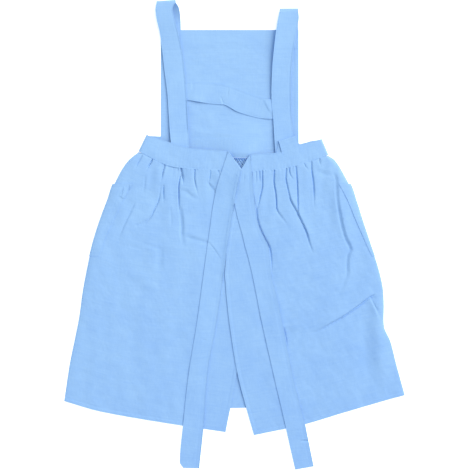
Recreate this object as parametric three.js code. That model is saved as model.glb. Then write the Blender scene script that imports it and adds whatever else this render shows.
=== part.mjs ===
// Pinafore apron laid flat, face down with its back up, as it lies on a table.
// Millimetres, +Z up, +Y from hem to bib; the origin is on the table, under the middle of the apron.
import * as THREE from "three";

const { clamp, lerp, smoothstep } = THREE.MathUtils;

// Thickness of each cloth, doubled or turned where the real piece is.
const SKIRT_CLOTH = 1.0;
const POCKET_CLOTH = 1.0;
const BIB_CLOTH = 1.2;
const BIB_TURNED = 2.2;
const BAND_CLOTH = 2.0;
const STRAP_CLOTH = 1.6;
const CROSS_CLOTH = 1.4;

// Small gaps: where one piece is sewn to the next, lies on it, or wraps round the side of the skirt.
const SEAM_GAP = 0.3;
const LAY_GAP = 0.4;
const WAIST_GAP = 0.5;
const WRAP_GAP = 0.7;

// Heights of the middle of the cloth above the table.
const FRONT_BAND_Z = BAND_CLOTH / 2;
const BACK_BAND_Z = 12;
const STRAP_FRONT_Z = BIB_TURNED + SEAM_GAP + STRAP_CLOTH / 2;
const STRAP_CREST_Z = 15;
const CROSS_Z = BIB_CLOTH + SEAM_GAP + CROSS_CLOTH / 2;
const STRAP_ON_CROSS_Z = CROSS_Z + CROSS_CLOTH / 2 + LAY_GAP + STRAP_CLOTH / 2;
const STRAP_UNDER_BAND_Z = BACK_BAND_Z - BAND_CLOTH / 2 - 2 * SEAM_GAP - STRAP_CLOTH / 2;

// Right strap's folded end: two layers under the band's edge, then the last one lying on the band.
const STRAP_ON_BAND_Z = BACK_BAND_Z + BAND_CLOTH / 2 + SEAM_GAP + STRAP_CLOTH / 2;
const STRAP_PLEAT = { low: 7.7, middle: 9.9, high: STRAP_ON_BAND_Z };

// Bib panel: a rectangle with a deep facing at its top and narrow hems down its sides.
const BIB = { left: -184, right: 160, top: 512.5, facing: 46, hem: 10, hemStep: 1.5 };

// Patch pockets: mouth and bottom heights, reach under the front, how far they wrap onto the back.
const POCKET = { mouth: 127.5, bottom: -52.5, under: 118, proud: 4, proudDrop: 45 };
const POCKET_WRAP = { left: 37, right: 21 };

// Lift of the skirt front over the pockets: full to a margin round them, then fading to the table.
const POCKET_LIFT = { high: POCKET_CLOTH + WAIST_GAP, margin: 5, fade: 37 };

// Side folds of the skirt: how wide the cloth rolls over between front and back.
const ROLL_WIDTH = 16;
const ROLL_COLUMNS = 4;

// Back opening: the right panel lies over the left one, which is lower by this much.
const OVERLAP_DROP = 1.9;
const LEFT_DIP = { full: 55, fade: 115 };
const RIGHT_DIP = { full: 30, fade: 95 };

// Mesh fineness.
const BACK_COLUMNS = 34;
const BACK_ROWS = 20;
const FRONT_COLUMNS = 22;
const FRONT_ROWS = 12;
const POCKET_ROWS = 7;
const WAIST_CROWDING = 1.6;
const STRIP_STEPS = 3;
const TURN_STEPS = 6;
const BEND_STEPS = 3;
const BIB_STEPS = 4;

// Skirt outline at its side folds.
const LEFT_OUTLINE = [
  { y: 206.6, x: -238.75 },
  { y: 157.5, x: -283.75 },
  { y: 97.5, x: -311 },
  { y: -22.5, x: -353.75 },
  { y: -142.5, x: -378.75 },
  { y: -262.5, x: -398.75 },
  { y: -415, x: -425 },
];
const RIGHT_OUTLINE = [
  { y: 197.4, x: 233.75 },
  { y: 157.5, x: 268.75 },
  { y: 97.5, x: 298.75 },
  { y: -22.5, x: 338.75 },
  { y: -132.5, x: 370 },
  { y: -230, x: 373.5 },
  { y: -265, x: 388.75 },
  { y: -400, x: 425 },
];

// Edges of the two back panels at the centre-back opening.
const LEFT_OPENING_EDGE = [
  { y: 160.5, x: 16.25 },
  { y: -37.5, x: 18.75 },
  { y: -212.5, x: 16.25 },
  { y: -340, x: 6.25 },
  { y: -492.5, x: -22.25 },
];
const RIGHT_OPENING_EDGE = [
  { y: 157, x: 21.25 },
  { y: 25, x: -11.25 },
  { y: -92.5, x: -28 },
  { y: -213.75, x: -13.75 },
  { y: -340, x: 6.25 },
  { y: -500, x: 48.75 },
];

// Hems, from side fold to opening edge, and the front hem from side to side.
const LEFT_HEM = [
  { x: -425, y: -415 },
  { x: -333.75, y: -441 },
  { x: -153.75, y: -472.5 },
  { x: -22.25, y: -492.5 },
];
const RIGHT_HEM = [
  { x: 425, y: -400 },
  { x: 276.25, y: -442.5 },
  { x: 176.25, y: -472.5 },
  { x: 48.75, y: -500 },
];
const FRONT_HEM = [
  { x: -425, y: -415 },
  { x: 1.25, y: -432.5 },
  { x: 425, y: -400 },
];

// Waistband from its right back end, round the front, to its left back end: upper and lower edge.
const BAND_ROWS = [
  { ax: 41, ay: 200, bx: 41, by: 157.5, z: BACK_BAND_Z },
  { ax: 68.75, ay: 202.5, bx: 68.75, by: 160.5, z: BACK_BAND_Z },
  { ax: 118.75, ay: 207.5, bx: 111, by: 163.75, z: BACK_BAND_Z },
  { ax: 161, ay: 225.5, bx: 157.75, by: 173.5, z: BACK_BAND_Z },
  { ax: 211.9, ay: 237.4, bx: 228.9, by: 197.4, z: BACK_BAND_Z, turnTo: FRONT_BAND_Z },
  { ax: 120, ay: 239.6, bx: 122, by: 193.5, z: FRONT_BAND_Z },
  { ax: 0, ay: 240, bx: 0, by: 191, z: FRONT_BAND_Z },
  { ax: -120, ay: 243.5, bx: -125, by: 197.5, z: FRONT_BAND_Z },
  { ax: -213.8, ay: 247.6, bx: -233.8, by: 206.3, z: FRONT_BAND_Z, turnTo: BACK_BAND_Z },
  { ax: -162.5, ay: 231, bx: -171, by: 175, z: BACK_BAND_Z },
  { ax: -111, ay: 216.5, bx: -121, by: 166, z: BACK_BAND_Z },
  { ax: -33.75, ay: 210.5, bx: -33.75, by: 161, z: BACK_BAND_Z },
  { ax: -19, ay: 208.5, bx: -19, by: 160.5, z: BACK_BAND_Z },
];

// Height at which the back of the skirt lies, from waist to hem.
const BACK_REST = [
  { y: 215, z: 12 },
  { y: 160, z: 12 },
  { y: 90, z: 9.6 },
  { y: -60, z: 8.4 },
  { y: -500, z: 8 },
];

// How far the right panel sinks at its opening edge, under the tie, from waist to hem.
const OPENING_SINK = [
  { y: 165, drop: 1.8 },
  { y: 120, drop: 1.2 },
  { y: 40, drop: 0 },
  { y: -500, drop: 0 },
];

// Gathered folds of the back: the ridge runs from the band (x0 at top) by xm to x1 at foot.
const FOLDS = [
  { top: 190, foot: 120, x0: -211, xm: -221, x1: -232, half: 11, high: 2.4 },
  { top: 178, foot: 20, x0: -174, xm: -186, x1: -238, half: 16, high: 4.2 },
  { top: 168, foot: -40, x0: -135, xm: -139, x1: -128, half: 15, high: 3.6 },
  { top: 164, foot: 70, x0: -102, xm: -96, x1: -92, half: 12, high: 2.8 },
  { top: 162, foot: 95, x0: -66, xm: -58, x1: -52, half: 11, high: 2.2 },
  { top: 160, foot: -40, x0: 68, xm: 64, x1: 92, half: 13, high: 3 },
  { top: 163, foot: 20, x0: 99, xm: 106, x1: 130, half: 13, high: 3 },
  { top: 168, foot: -45, x0: 136, xm: 146, x1: 200, half: 16, high: 4.4 },
  { top: 175, foot: 60, x0: 164, xm: 166, x1: 168, half: 11, high: 2.6 },
  { top: 185, foot: 85, x0: 196, xm: 198, x1: 201, half: 13, high: 3 },
  { top: 150, foot: -120, x0: 256, xm: 276, x1: 282, half: 15, high: 3.4 },
];
const FOLD_START = 0.1;

// Fine gathers at the front waist.
const GATHER = { pitch: 24, high: 1.3, reach: 70, start: 6 };

// Tuck across the right panel: the cloth above the line is pushed up over the cloth below it.
const TUCK = [
  { x: 130, y: -251 },
  { x: 171, y: -242 },
  { x: 261, y: -205 },
  { x: 372, y: -135 },
];
const TUCK_LIP = { high: 2, reach: 60, from: 130, full: 200 };

// Shoulder straps: sewn to the bib facing, up over the crest, down the back to the waistband.
const LEFT_STRAP_ROWS = [
  { ax: -181, ay: 468, bx: -133, by: 468, z: STRAP_FRONT_Z },
  { ax: -183, ay: 512, bx: -134, by: 512, z: STRAP_FRONT_Z },
  { ax: -185, ay: 540, bx: -136, by: 540, z: STRAP_FRONT_Z },
  { ax: -194, ay: 576.5, bx: -148, by: 579.5, z: STRAP_FRONT_Z, turnTo: STRAP_CREST_Z },
  { ax: -198.5, ay: 552, bx: -153.5, by: 550, z: 13.5 },
  { ax: -189, ay: 505, bx: -141, by: 503, z: 9.5 },
  { ax: -181, ay: 455, bx: -131, by: 455, z: 5.6 },
  { ax: -175.75, ay: 416, bx: -125.75, by: 416, z: STRAP_ON_CROSS_Z },
  { ax: -168, ay: 360, bx: -120, by: 360, z: STRAP_ON_CROSS_Z },
  { ax: -163.5, ay: 312.5, bx: -116, by: 312.5, z: 4.6 },
  { ax: -158, ay: 260, bx: -113, by: 258, z: 7.6 },
  { ax: -155, ay: 235, bx: -111.5, by: 230, z: STRAP_UNDER_BAND_Z },
  { ax: -153, ay: 216, bx: -110, by: 206, z: STRAP_UNDER_BAND_Z },
];
const RIGHT_STRAP_ROWS = [
  { ax: 111, ay: 468, bx: 158, by: 468, z: STRAP_FRONT_Z },
  { ax: 112, ay: 512, bx: 159, by: 512, z: STRAP_FRONT_Z },
  { ax: 112.5, ay: 557.9, bx: 158.75, by: 558.2, z: STRAP_FRONT_Z, turnTo: STRAP_CREST_Z },
  { ax: 107, ay: 537.5, bx: 160, by: 537.5, z: 13.5 },
  { ax: 101, ay: 495, bx: 152, by: 495, z: 9.5 },
  { ax: 96, ay: 448, bx: 145, by: 448, z: 5.6 },
  { ax: 94.5, ay: 405, bx: 140.5, by: 405, z: STRAP_ON_CROSS_Z },
  { ax: 92.25, ay: 339, bx: 141.5, by: 339, z: STRAP_ON_CROSS_Z },
  { ax: 94.5, ay: 292, bx: 143.5, by: 290, z: STRAP_ON_CROSS_Z + LAY_GAP },
  { ax: 99, ay: 255, bx: 147, by: 262, z: 7.6 },
  { ax: 103.5, ay: 197, bx: 151, by: 211, z: STRAP_PLEAT.low, turnTo: STRAP_PLEAT.middle },
  { ax: 110.5, ay: 232.5, bx: 154.5, by: 245.5, z: STRAP_PLEAT.middle, turnTo: STRAP_PLEAT.high },
  { ax: 117.5, ay: 207.5, bx: 161.5, by: 225, z: STRAP_PLEAT.high },
  { ax: 123, ay: 181, bx: 167, by: 194, z: STRAP_PLEAT.high },
];

// Cross strap lying on the bib between the shoulder straps: upper and lower edge.
const CROSS_ROWS = [
  { ax: -156, ay: 380, bx: -152, by: 336, z: CROSS_Z },
  { ax: -68.75, ay: 378.75, bx: -72, by: 331, z: CROSS_Z },
  { ax: -21.25, ay: 373, bx: -26, by: 326.5, z: CROSS_Z },
  { ax: 22, ay: 358, bx: 8.75, by: 310, z: CROSS_Z },
  { ax: 73.75, ay: 339, bx: 62, by: 294, z: CROSS_Z },
  { ax: 120, ay: 332, bx: 120, by: 287.5, z: CROSS_Z },
];

// Ties sewn to the band ends and folded down over the skirt; least is the lowest the cloth may lie.
const LEFT_TIE_START = { ax: -18.5, ay: 208.4, bx: -18.5, by: 161 };
const LEFT_TIE_ROWS = [
  { ax: -16.25, ay: 206.5, bx: 11.5, by: 164, least: 16.6 },
  { ax: -46.75, ay: 107.5, bx: 4, by: 97, least: 16.6 },
  { ax: -65.25, ay: -12.5, bx: -14.5, by: -8.5, least: 11 },
  { ax: -76, ay: -90, bx: -28.25, by: -105, least: 0 },
  { ax: -93.75, ay: -219.5, bx: -45, by: -222, least: 0 },
  { ax: -114, ay: -345, bx: -66, by: -338, least: 0 },
  { ax: -128.25, ay: -472, bx: -77.75, by: -483.5, least: 0 },
  { ax: -136.5, ay: -567, bx: -87, by: -570, least: 0 },
  { ax: -128, ay: -582, bx: -88.25, by: -583, least: 0 },
];
const RIGHT_TIE_START = { ax: 40.5, ay: 200, bx: 40.5, by: 157.5 };
const RIGHT_TIE_ROWS = [
  { ax: 39.25, ay: 199.5, bx: 10, by: 150, least: 14.3 },
  { ax: 48, ay: 100, bx: 0, by: 90, least: 13 },
  { ax: 59, ay: 27.5, bx: 10, by: 25, least: 0 },
  { ax: 76, ay: -37.5, bx: 28.5, by: -37.5, least: 0 },
  { ax: 112.75, ay: -190, bx: 63.75, by: -202.5, least: 0 },
  { ax: 147, ay: -357.5, bx: 98, by: -350, least: 0 },
  { ax: 176, ay: -472, bx: 126, by: -470, least: 0 },
  { ax: 197.75, ay: -578, bx: 151.75, by: -586, least: 0 },
];

// A tie clears the highest cloth within this reach before and behind it, tested at a few samples.
const TIE_REACH = 38;
const TIE_SAMPLES = 6;
const EDGE_MARGIN = 1;
const HEM_MARGIN = 4;

// Smooth curve through a table: the value of one column against another, held flat past its ends.
function through(rows, against, column) {
  const knots = rows.map((row) => ({ at: row[against], value: row[column] }));
  knots.sort((p, q) => p.at - q.at);
  const last = knots.length - 1;
  const slope = (i) => {
    const before = knots[Math.max(i - 1, 0)];
    const after = knots[Math.min(i + 1, last)];
    return (after.value - before.value) / (after.at - before.at);
  };
  return (at) => {
    let i = 0;
    while (i < last - 1 && at > knots[i + 1].at) {
      i += 1;
    }
    const p = knots[i];
    const q = knots[i + 1];
    const span = q.at - p.at;
    const k = clamp((at - p.at) / span, 0, 1);
    const ease = k * k * (3 - 2 * k);
    const bend = span * k * (1 - k);
    return lerp(p.value, q.value, ease) + bend * ((1 - k) * slope(i) - k * slope(i + 1));
  };
}

// Closed body between two skins, each a grid of points, with its rim walled in.
function between(lower, upper) {
  const rows = upper.length;
  const columns = upper[0].length;
  const points = [...upper.flat(), ...lower.flat()];
  const top = (j, i) => j * columns + i;
  const under = (j, i) => rows * columns + top(j, i);
  const faces = [];
  const quad = (p, q, r, s) => faces.push(p, q, r, p, r, s);
  for (let j = 0; j < rows - 1; j += 1) {
    for (let i = 0; i < columns - 1; i += 1) {
      quad(top(j, i), top(j, i + 1), top(j + 1, i + 1), top(j + 1, i));
      quad(under(j, i), under(j + 1, i), under(j + 1, i + 1), under(j, i + 1));
    }
  }
  for (let i = 0; i < columns - 1; i += 1) {
    quad(top(0, i), under(0, i), under(0, i + 1), top(0, i + 1));
    quad(top(rows - 1, i), top(rows - 1, i + 1), under(rows - 1, i + 1), under(rows - 1, i));
  }
  for (let j = 0; j < rows - 1; j += 1) {
    quad(top(j, 0), top(j + 1, 0), under(j + 1, 0), under(j, 0));
    const i = columns - 1;
    quad(top(j, i), under(j, i), under(j + 1, i), top(j + 1, i));
  }
  const corner = (k) => points[faces[k]];
  let volume = 0;
  for (let k = 0; k < faces.length; k += 3) {
    volume += corner(k).dot(new THREE.Vector3().crossVectors(corner(k + 1), corner(k + 2)));
  }
  if (volume < 0) {
    faces.reverse();
  }
  return new THREE.BufferGeometry().setFromPoints(points).setIndex(faces);
}

// Cloth of an even thickness about a grid of points in its middle.
function cloth(middle, thickness) {
  const rows = middle.length;
  const columns = middle[0].length;
  const offset = (j, i, distance) => {
    const across = middle[j][Math.min(i + 1, columns - 1)].clone().sub(middle[j][Math.max(i - 1, 0)]);
    const along = middle[Math.min(j + 1, rows - 1)][i].clone().sub(middle[Math.max(j - 1, 0)][i]);
    const normal = across.cross(along).normalize();
    return middle[j][i].clone().addScaledVector(normal, distance);
  };
  const skin = (distance) => middle.map((row, j) => row.map((_, i) => offset(j, i, distance)));
  return between(skin(-thickness / 2), skin(thickness / 2));
}

// Grid of points from a function of two shares, along the columns and down the rows.
function gridOf(across, down, place) {
  return down.map((t) => across.map((s) => place(s, t)));
}

function shares(count, crowding = 1) {
  return Array.from({ length: count + 1 }, (_, k) => (k / count) ** crowding);
}

// Flat patch whose four edges are the given curves: P(s, 0) is the waist and P(0, t) the side.
function patch(side, opposite, waist, hem) {
  const [sideTop, sideFoot, farTop, farFoot] = [side(0), side(1), opposite(0), opposite(1)];
  const blend = (s, t, key) => {
    const lengthways = lerp(side(t)[key], opposite(t)[key], s);
    const crossways = lerp(waist(s)[key], hem(s)[key], t);
    const corners = lerp(lerp(sideTop[key], farTop[key], s), lerp(sideFoot[key], farFoot[key], s), t);
    return lengthways + crossways - corners;
  };
  return (s, t) => new THREE.Vector2(blend(s, t, "x"), blend(s, t, "y"));
}

// Curves of a table taken end to end, by y for a side and by x for a waist or hem.
function sideCurve(rows) {
  const x = through(rows, "y", "x");
  const [first, last] = [rows[0].y, rows[rows.length - 1].y];
  return (t) => new THREE.Vector2(x(lerp(first, last, t)), lerp(first, last, t));
}

function edgeCurve(rows) {
  const y = through(rows, "x", "y");
  const [first, last] = [rows[0].x, rows[rows.length - 1].x];
  return (s) => new THREE.Vector2(lerp(first, last, s), y(lerp(first, last, s)));
}

// Lower edge of the band, where each panel is gathered on, ended at the panel's own two edges.
const band = stripSections(BAND_ROWS);
const onFront = (edge) => Math.abs(edge.z - FRONT_BAND_Z) < SEAM_GAP;
const onBack = (edge) => Math.abs(edge.z - BACK_BAND_Z) < SEAM_GAP;

function waistRows(belongs, side, opposite) {
  const seam = band.map((section) => section[1]).filter(belongs);
  const rows = seam.map((edge) => ({ x: edge.x, y: edge.y - WAIST_GAP }));
  const within = (row) => (row.x - side[0].x) * (row.x - opposite[0].x) < 0;
  const inner = rows.filter(within).sort((p, q) => Math.abs(p.x - side[0].x) - Math.abs(q.x - side[0].x));
  return [side[0], ...inner, opposite[0]];
}

const FRONT_WAIST = waistRows(onFront, LEFT_OUTLINE, RIGHT_OUTLINE);
const LEFT_WAIST = waistRows((edge) => onBack(edge) && edge.x < 0, LEFT_OUTLINE, LEFT_OPENING_EDGE);
const RIGHT_WAIST = waistRows((edge) => onBack(edge) && edge.x > 0, RIGHT_OUTLINE, RIGHT_OPENING_EDGE);

// Height of the skirt front: on the table, lifted over the pockets, rippled by its gathers.
const leftOutline = through(LEFT_OUTLINE, "y", "x");
const rightOutline = through(RIGHT_OUTLINE, "y", "x");
const frontWaist = through(FRONT_WAIST, "x", "y");

function pocketLift(x, y) {
  const { high, margin, fade } = POCKET_LIFT;
  const inset = Math.min(x - leftOutline(y), rightOutline(y) - x);
  const inside = 1 - smoothstep(inset, POCKET.under + margin, POCKET.under + fade);
  const below = smoothstep(y, POCKET.bottom - fade, POCKET.bottom - margin);
  const above = 1 - smoothstep(y, POCKET.mouth + margin, POCKET.mouth + fade);
  return high * inside * below * above;
}

function frontHeight(x, y) {
  const drop = frontWaist(x) - y;
  const inset = Math.min(x - leftOutline(y), rightOutline(y) - x);
  const fade = smoothstep(drop, 0, GATHER.start) * (1 - smoothstep(drop, GATHER.start, GATHER.reach));
  const wave = 0.5 + 0.5 * Math.cos((2 * Math.PI * x) / GATHER.pitch);
  const gathers = GATHER.high * wave * fade * smoothstep(inset, ROLL_WIDTH, 3 * ROLL_WIDTH);
  return SKIRT_CLOTH / 2 + pocketLift(x, y) + gathers;
}

// Height of the skirt back: rest height, folds, tuck, the dip at the opening, the roll at the side.
const backRest = through(BACK_REST, "y", "z");
const openingSink = through(OPENING_SINK, "y", "drop");
const leftOpening = through(LEFT_OPENING_EDGE, "y", "x");
const rightOpening = through(RIGHT_OPENING_EDGE, "y", "x");
const tuckLine = through(TUCK, "x", "y");

function foldHeight(x, y) {
  return FOLDS.reduce((height, fold) => {
    const v = (fold.top - y) / (fold.top - fold.foot);
    if (v <= 0 || v >= 1) {
      return height;
    }
    const ridge = (1 - v) * lerp(fold.x0, fold.xm, v) + v * lerp(fold.xm, fold.x1, v);
    const off = Math.abs(x - ridge) / fold.half;
    const crown = off < 1 ? Math.cos((off * Math.PI) / 2) ** 2 : 0;
    return height + fold.high * crown * smoothstep(v, 0, FOLD_START) * (1 - v);
  }, 0);
}

function tuckHeight(x, y) {
  const above = y - tuckLine(x);
  if (above < 0) {
    return 0;
  }
  const fade = 1 - smoothstep(above, 0, TUCK_LIP.reach);
  return TUCK_LIP.high * fade * smoothstep(x, TUCK_LIP.from, TUCK_LIP.full);
}

const LEFT_BACK = {
  inset: (x, y) => x - leftOutline(y),
  covers: (x, y) => x <= leftOpening(y) + EDGE_MARGIN,
  dip: (x, y) => {
    const share = 1 - smoothstep(leftOpening(y) - x, LEFT_DIP.full, LEFT_DIP.fade);
    return share * (openingSink(y) + OVERLAP_DROP);
  },
};
const RIGHT_BACK = {
  inset: (x, y) => rightOutline(y) - x,
  covers: (x, y) => x >= rightOpening(y) - EDGE_MARGIN,
  dip: (x, y) => {
    const share = 1 - smoothstep(x - rightOpening(y), RIGHT_DIP.full, RIGHT_DIP.fade);
    return share * openingSink(y);
  },
};

function rollRise(inset) {
  const short = 1 - clamp(inset / ROLL_WIDTH, 0, 1);
  return Math.sqrt(1 - short * short);
}

function rollFoot(x, y) {
  return pocketLift(x, y) + SKIRT_CLOTH + WRAP_GAP;
}

function backHeight(back, x, y) {
  const laid = backRest(y) + foldHeight(x, y) + tuckHeight(x, y) - back.dip(x, y);
  const foot = rollFoot(x, y);
  return foot + (laid - foot) * rollRise(back.inset(x, y));
}

// Skirt front, between the side folds.
function skirtFront() {
  const waist = edgeCurve(FRONT_WAIST);
  const hem = edgeCurve(FRONT_HEM);
  const plan = patch(sideCurve(LEFT_OUTLINE), sideCurve(RIGHT_OUTLINE), waist, hem);
  const middle = gridOf(shares(FRONT_COLUMNS), shares(FRONT_ROWS, WAIST_CROWDING), (s, t) => {
    const at = plan(s, t);
    return new THREE.Vector3(at.x, at.y, frontHeight(at.x, at.y));
  });
  return cloth(middle, SKIRT_CLOTH);
}

// Skirt back panel, from the side fold, where the columns crowd round the roll, to the opening.
function skirtBack(back, outline, opening, waist, hem) {
  const [side, edge] = [sideCurve(outline), sideCurve(opening)];
  const plan = patch(side, edge, edgeCurve(waist), edgeCurve(hem));
  const rolled = shares(ROLL_COLUMNS).map((k) => ROLL_WIDTH * (1 - Math.cos((k * Math.PI) / 2)));
  const flat = shares(BACK_COLUMNS - ROLL_COLUMNS).slice(1);
  const columns = [...rolled.map((inset) => ({ inset, share: 0 })), ...flat.map((share) => ({ share }))];
  const middle = gridOf(columns, shares(BACK_ROWS, WAIST_CROWDING), (column, t) => {
    const width = plan(0, t).distanceTo(plan(1, t));
    const rollShare = ROLL_WIDTH / width;
    const s = column.inset === undefined ? lerp(rollShare, 1, column.share) : column.inset / width;
    const at = plan(s, t);
    return new THREE.Vector3(at.x, at.y, backHeight(back, at.x, at.y));
  });
  return cloth(middle, SKIRT_CLOTH);
}

// Patch pocket: flat under the front, round the side fold, then lying on the back by its wrap.
function pocket(back, outline, inward, wrap) {
  const clear = SKIRT_CLOTH / 2 + WRAP_GAP + POCKET_CLOTH / 2;
  const underRun = [1, 0.72, 0.45, 0.2].map((share) => share * POCKET.under);
  const backRun = [0.45, 1].map((share) => lerp(ROLL_WIDTH, wrap, share));
  const section = (y) => {
    const out = POCKET.proud * smoothstep(y, POCKET.mouth - POCKET.proudDrop, POCKET.mouth);
    const place = (inset, z) => new THREE.Vector3(outline(y) + inward * inset, y, z);
    const laid = (inset) => backHeight(back, outline(y) + inward * inset, y);
    const under = underRun.map((inset) => place(inset, POCKET_CLOTH / 2));
    const foot = rollFoot(outline(y), y);
    const bend = shares(BEND_STEPS).slice(0, -1).map((k) => {
      const angle = (k * Math.PI) / 2;
      return place(-out - clear * Math.sin(angle), POCKET_CLOTH / 2 + clear * (1 - Math.cos(angle)));
    });
    const over = shares(ROLL_COLUMNS).map((k) => {
      const angle = (k * Math.PI) / 2;
      const height = laid(ROLL_WIDTH) - foot;
      const normal = new THREE.Vector2(-Math.cos(angle) * height, Math.sin(angle) * ROLL_WIDTH).normalize();
      const inset = ROLL_WIDTH * (1 - Math.cos(angle)) + normal.x * (clear + out);
      return place(inset, foot + height * Math.sin(angle) + normal.y * clear);
    });
    const lying = backRun.map((inset) => place(inset, laid(inset) + clear));
    return [...under, ...bend, ...over, ...lying];
  };
  const middle = shares(POCKET_ROWS).map((t) => section(lerp(POCKET.mouth, POCKET.bottom, t)));
  return cloth(middle, POCKET_CLOTH);
}

// Cloth strip between two edges; a row with turnTo folds over there to that height.
function stripSections(rows) {
  const sections = [];
  let run = [];
  const layRun = () => {
    const edges = [0, 1].map((k) => new THREE.CatmullRomCurve3(run.map((row) => sectionAt(row, row.z)[k])));
    const stations = shares((run.length - 1) * STRIP_STEPS);
    sections.push(...stations.map((u) => edges.map((edge) => edge.getPoint(u))));
  };
  rows.forEach((row, k) => {
    run.push(row);
    if (row.turnTo !== undefined) {
      layRun();
      sections.push(...turnSections(rows[k - 1], row));
      run = [{ ...row, z: row.turnTo }];
    }
  });
  layRun();
  return sections;
}

function sectionAt(row, z) {
  return [new THREE.Vector3(row.ax, row.ay, z), new THREE.Vector3(row.bx, row.by, z)];
}

// Half circle of sections that carries a strip over its fold line to the next height.
function turnSections(before, row) {
  const outward = new THREE.Vector3(row.by - row.ay, row.ax - row.bx, 0).normalize();
  const [lastA, lastB] = sectionAt(before, 0);
  const [a, b] = sectionAt(row, 0);
  const travel = a.add(b).sub(lastA).sub(lastB);
  if (outward.dot(travel) < 0) {
    outward.negate();
  }
  const half = (row.turnTo - row.z) / 2;
  return shares(TURN_STEPS).slice(1, -1).map((share) => {
    const angle = Math.PI * share;
    const reach = outward.clone().multiplyScalar(Math.abs(half) * Math.sin(angle));
    return sectionAt(row, row.z + half * (1 - Math.cos(angle))).map((point) => point.add(reach));
  });
}

// Highest cloth of the skirt back at a place, or the table beyond the hem.
const leftHem = through(LEFT_HEM, "x", "y");
const rightHem = through(RIGHT_HEM, "x", "y");

function skirtTop(x, y) {
  const onLeft = LEFT_BACK.covers(x, y) && y > leftHem(x) - HEM_MARGIN;
  const onRight = RIGHT_BACK.covers(x, y) && y > rightHem(x) - HEM_MARGIN;
  const left = onLeft ? backHeight(LEFT_BACK, x, y) + SKIRT_CLOTH / 2 + LAY_GAP : 0;
  const right = onRight ? backHeight(RIGHT_BACK, x, y) + SKIRT_CLOTH / 2 + LAY_GAP : 0;
  return Math.max(left, right);
}

// Waist tie: leaves the band end, folds over a slanted line and lies down the skirt to its free end.
function tie(start, rows) {
  const stations = stripSections(rows.map((row) => ({ ...row, z: row.least })));
  const reach = shares(TIE_SAMPLES).map((k) => lerp(-TIE_REACH, TIE_REACH, k));
  const laid = stations.map(([a, b]) => {
    const tops = shares(TIE_SAMPLES).flatMap((s) => {
      const at = a.clone().lerp(b, s);
      return reach.map((ahead) => skirtTop(at.x, at.y + ahead));
    });
    const z = Math.max(a.z, ...tops.map((top) => top + STRAP_CLOTH / 2));
    return [a.clone().setZ(z), b.clone().setZ(z)];
  });
  const fold = { ...rows[0], z: BACK_BAND_Z, turnTo: laid[0][0].z };
  const entry = [sectionAt(start, BACK_BAND_Z), sectionAt(fold, BACK_BAND_Z)];
  return cloth([...entry, ...turnSections(start, fold), ...laid], STRAP_CLOTH);
}

// Bib: thicker where its facing and side hems are turned in, its lower edge in the band.
function bib() {
  const seam = through(BAND_ROWS.filter((row) => row.z === FRONT_BAND_Z), "ax", "ay");
  const { left, right, top, facing, hem, hemStep } = BIB;
  const inner = shares(BIB_STEPS).map((s) => lerp(left + hem + hemStep, right - hem - hemStep, s));
  const columns = [left, left + hem, ...inner, right - hem, right];
  const foot = (x) => seam(x) + LAY_GAP;
  const body = shares(BIB_STEPS).map((t) => (x) => lerp(foot(x), top - facing - hemStep, t));
  const rows = [...body, () => top - facing, () => top];
  const lower = rows.map((y) => columns.map((x) => new THREE.Vector3(x, y(x), 0)));
  const upper = lower.map((points) => points.map((point) => {
    const turned = point.x <= left + hem || point.x >= right - hem || point.y >= top - facing;
    return point.clone().setZ(turned ? BIB_TURNED : BIB_CLOTH);
  }));
  return between(lower, upper);
}

// Pale blue woven cloth; each piece has its own material.
function piece(name, geometry) {
  const material = new THREE.MeshStandardMaterial({ color: 0x9dcbfc, roughness: 0.9, metalness: 0 });
  const mesh = new THREE.Mesh(geometry, material);
  mesh.name = name;
  return mesh;
}

const apron = new THREE.Group();
apron.add(
  piece("bib", bib()),
  piece("waistband", cloth(band, BAND_CLOTH)),
  piece("skirt_front", skirtFront()),
  piece("skirt_back_left", skirtBack(LEFT_BACK, LEFT_OUTLINE, LEFT_OPENING_EDGE, LEFT_WAIST, LEFT_HEM)),
  piece("skirt_back_right", skirtBack(RIGHT_BACK, RIGHT_OUTLINE, RIGHT_OPENING_EDGE, RIGHT_WAIST, RIGHT_HEM)),
  piece("shoulder_strap_left", cloth(stripSections(LEFT_STRAP_ROWS), STRAP_CLOTH)),
  piece("shoulder_strap_right", cloth(stripSections(RIGHT_STRAP_ROWS), STRAP_CLOTH)),
  piece("cross_strap", cloth(stripSections(CROSS_ROWS), CROSS_CLOTH)),
  piece("waist_tie_left", tie(LEFT_TIE_START, LEFT_TIE_ROWS)),
  piece("waist_tie_right", tie(RIGHT_TIE_START, RIGHT_TIE_ROWS)),
  piece("pocket_left", pocket(LEFT_BACK, leftOutline, 1, POCKET_WRAP.left)),
  piece("pocket_right", pocket(RIGHT_BACK, rightOutline, -1, POCKET_WRAP.right)),
);

export default apron;
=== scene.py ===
"""Pinafore apron of pale blue linen, laid flat on a table with its back up."""
import math
from collections import namedtuple

import bmesh
import bpy
import numpy as np
from mathutils import Matrix, Vector


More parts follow.
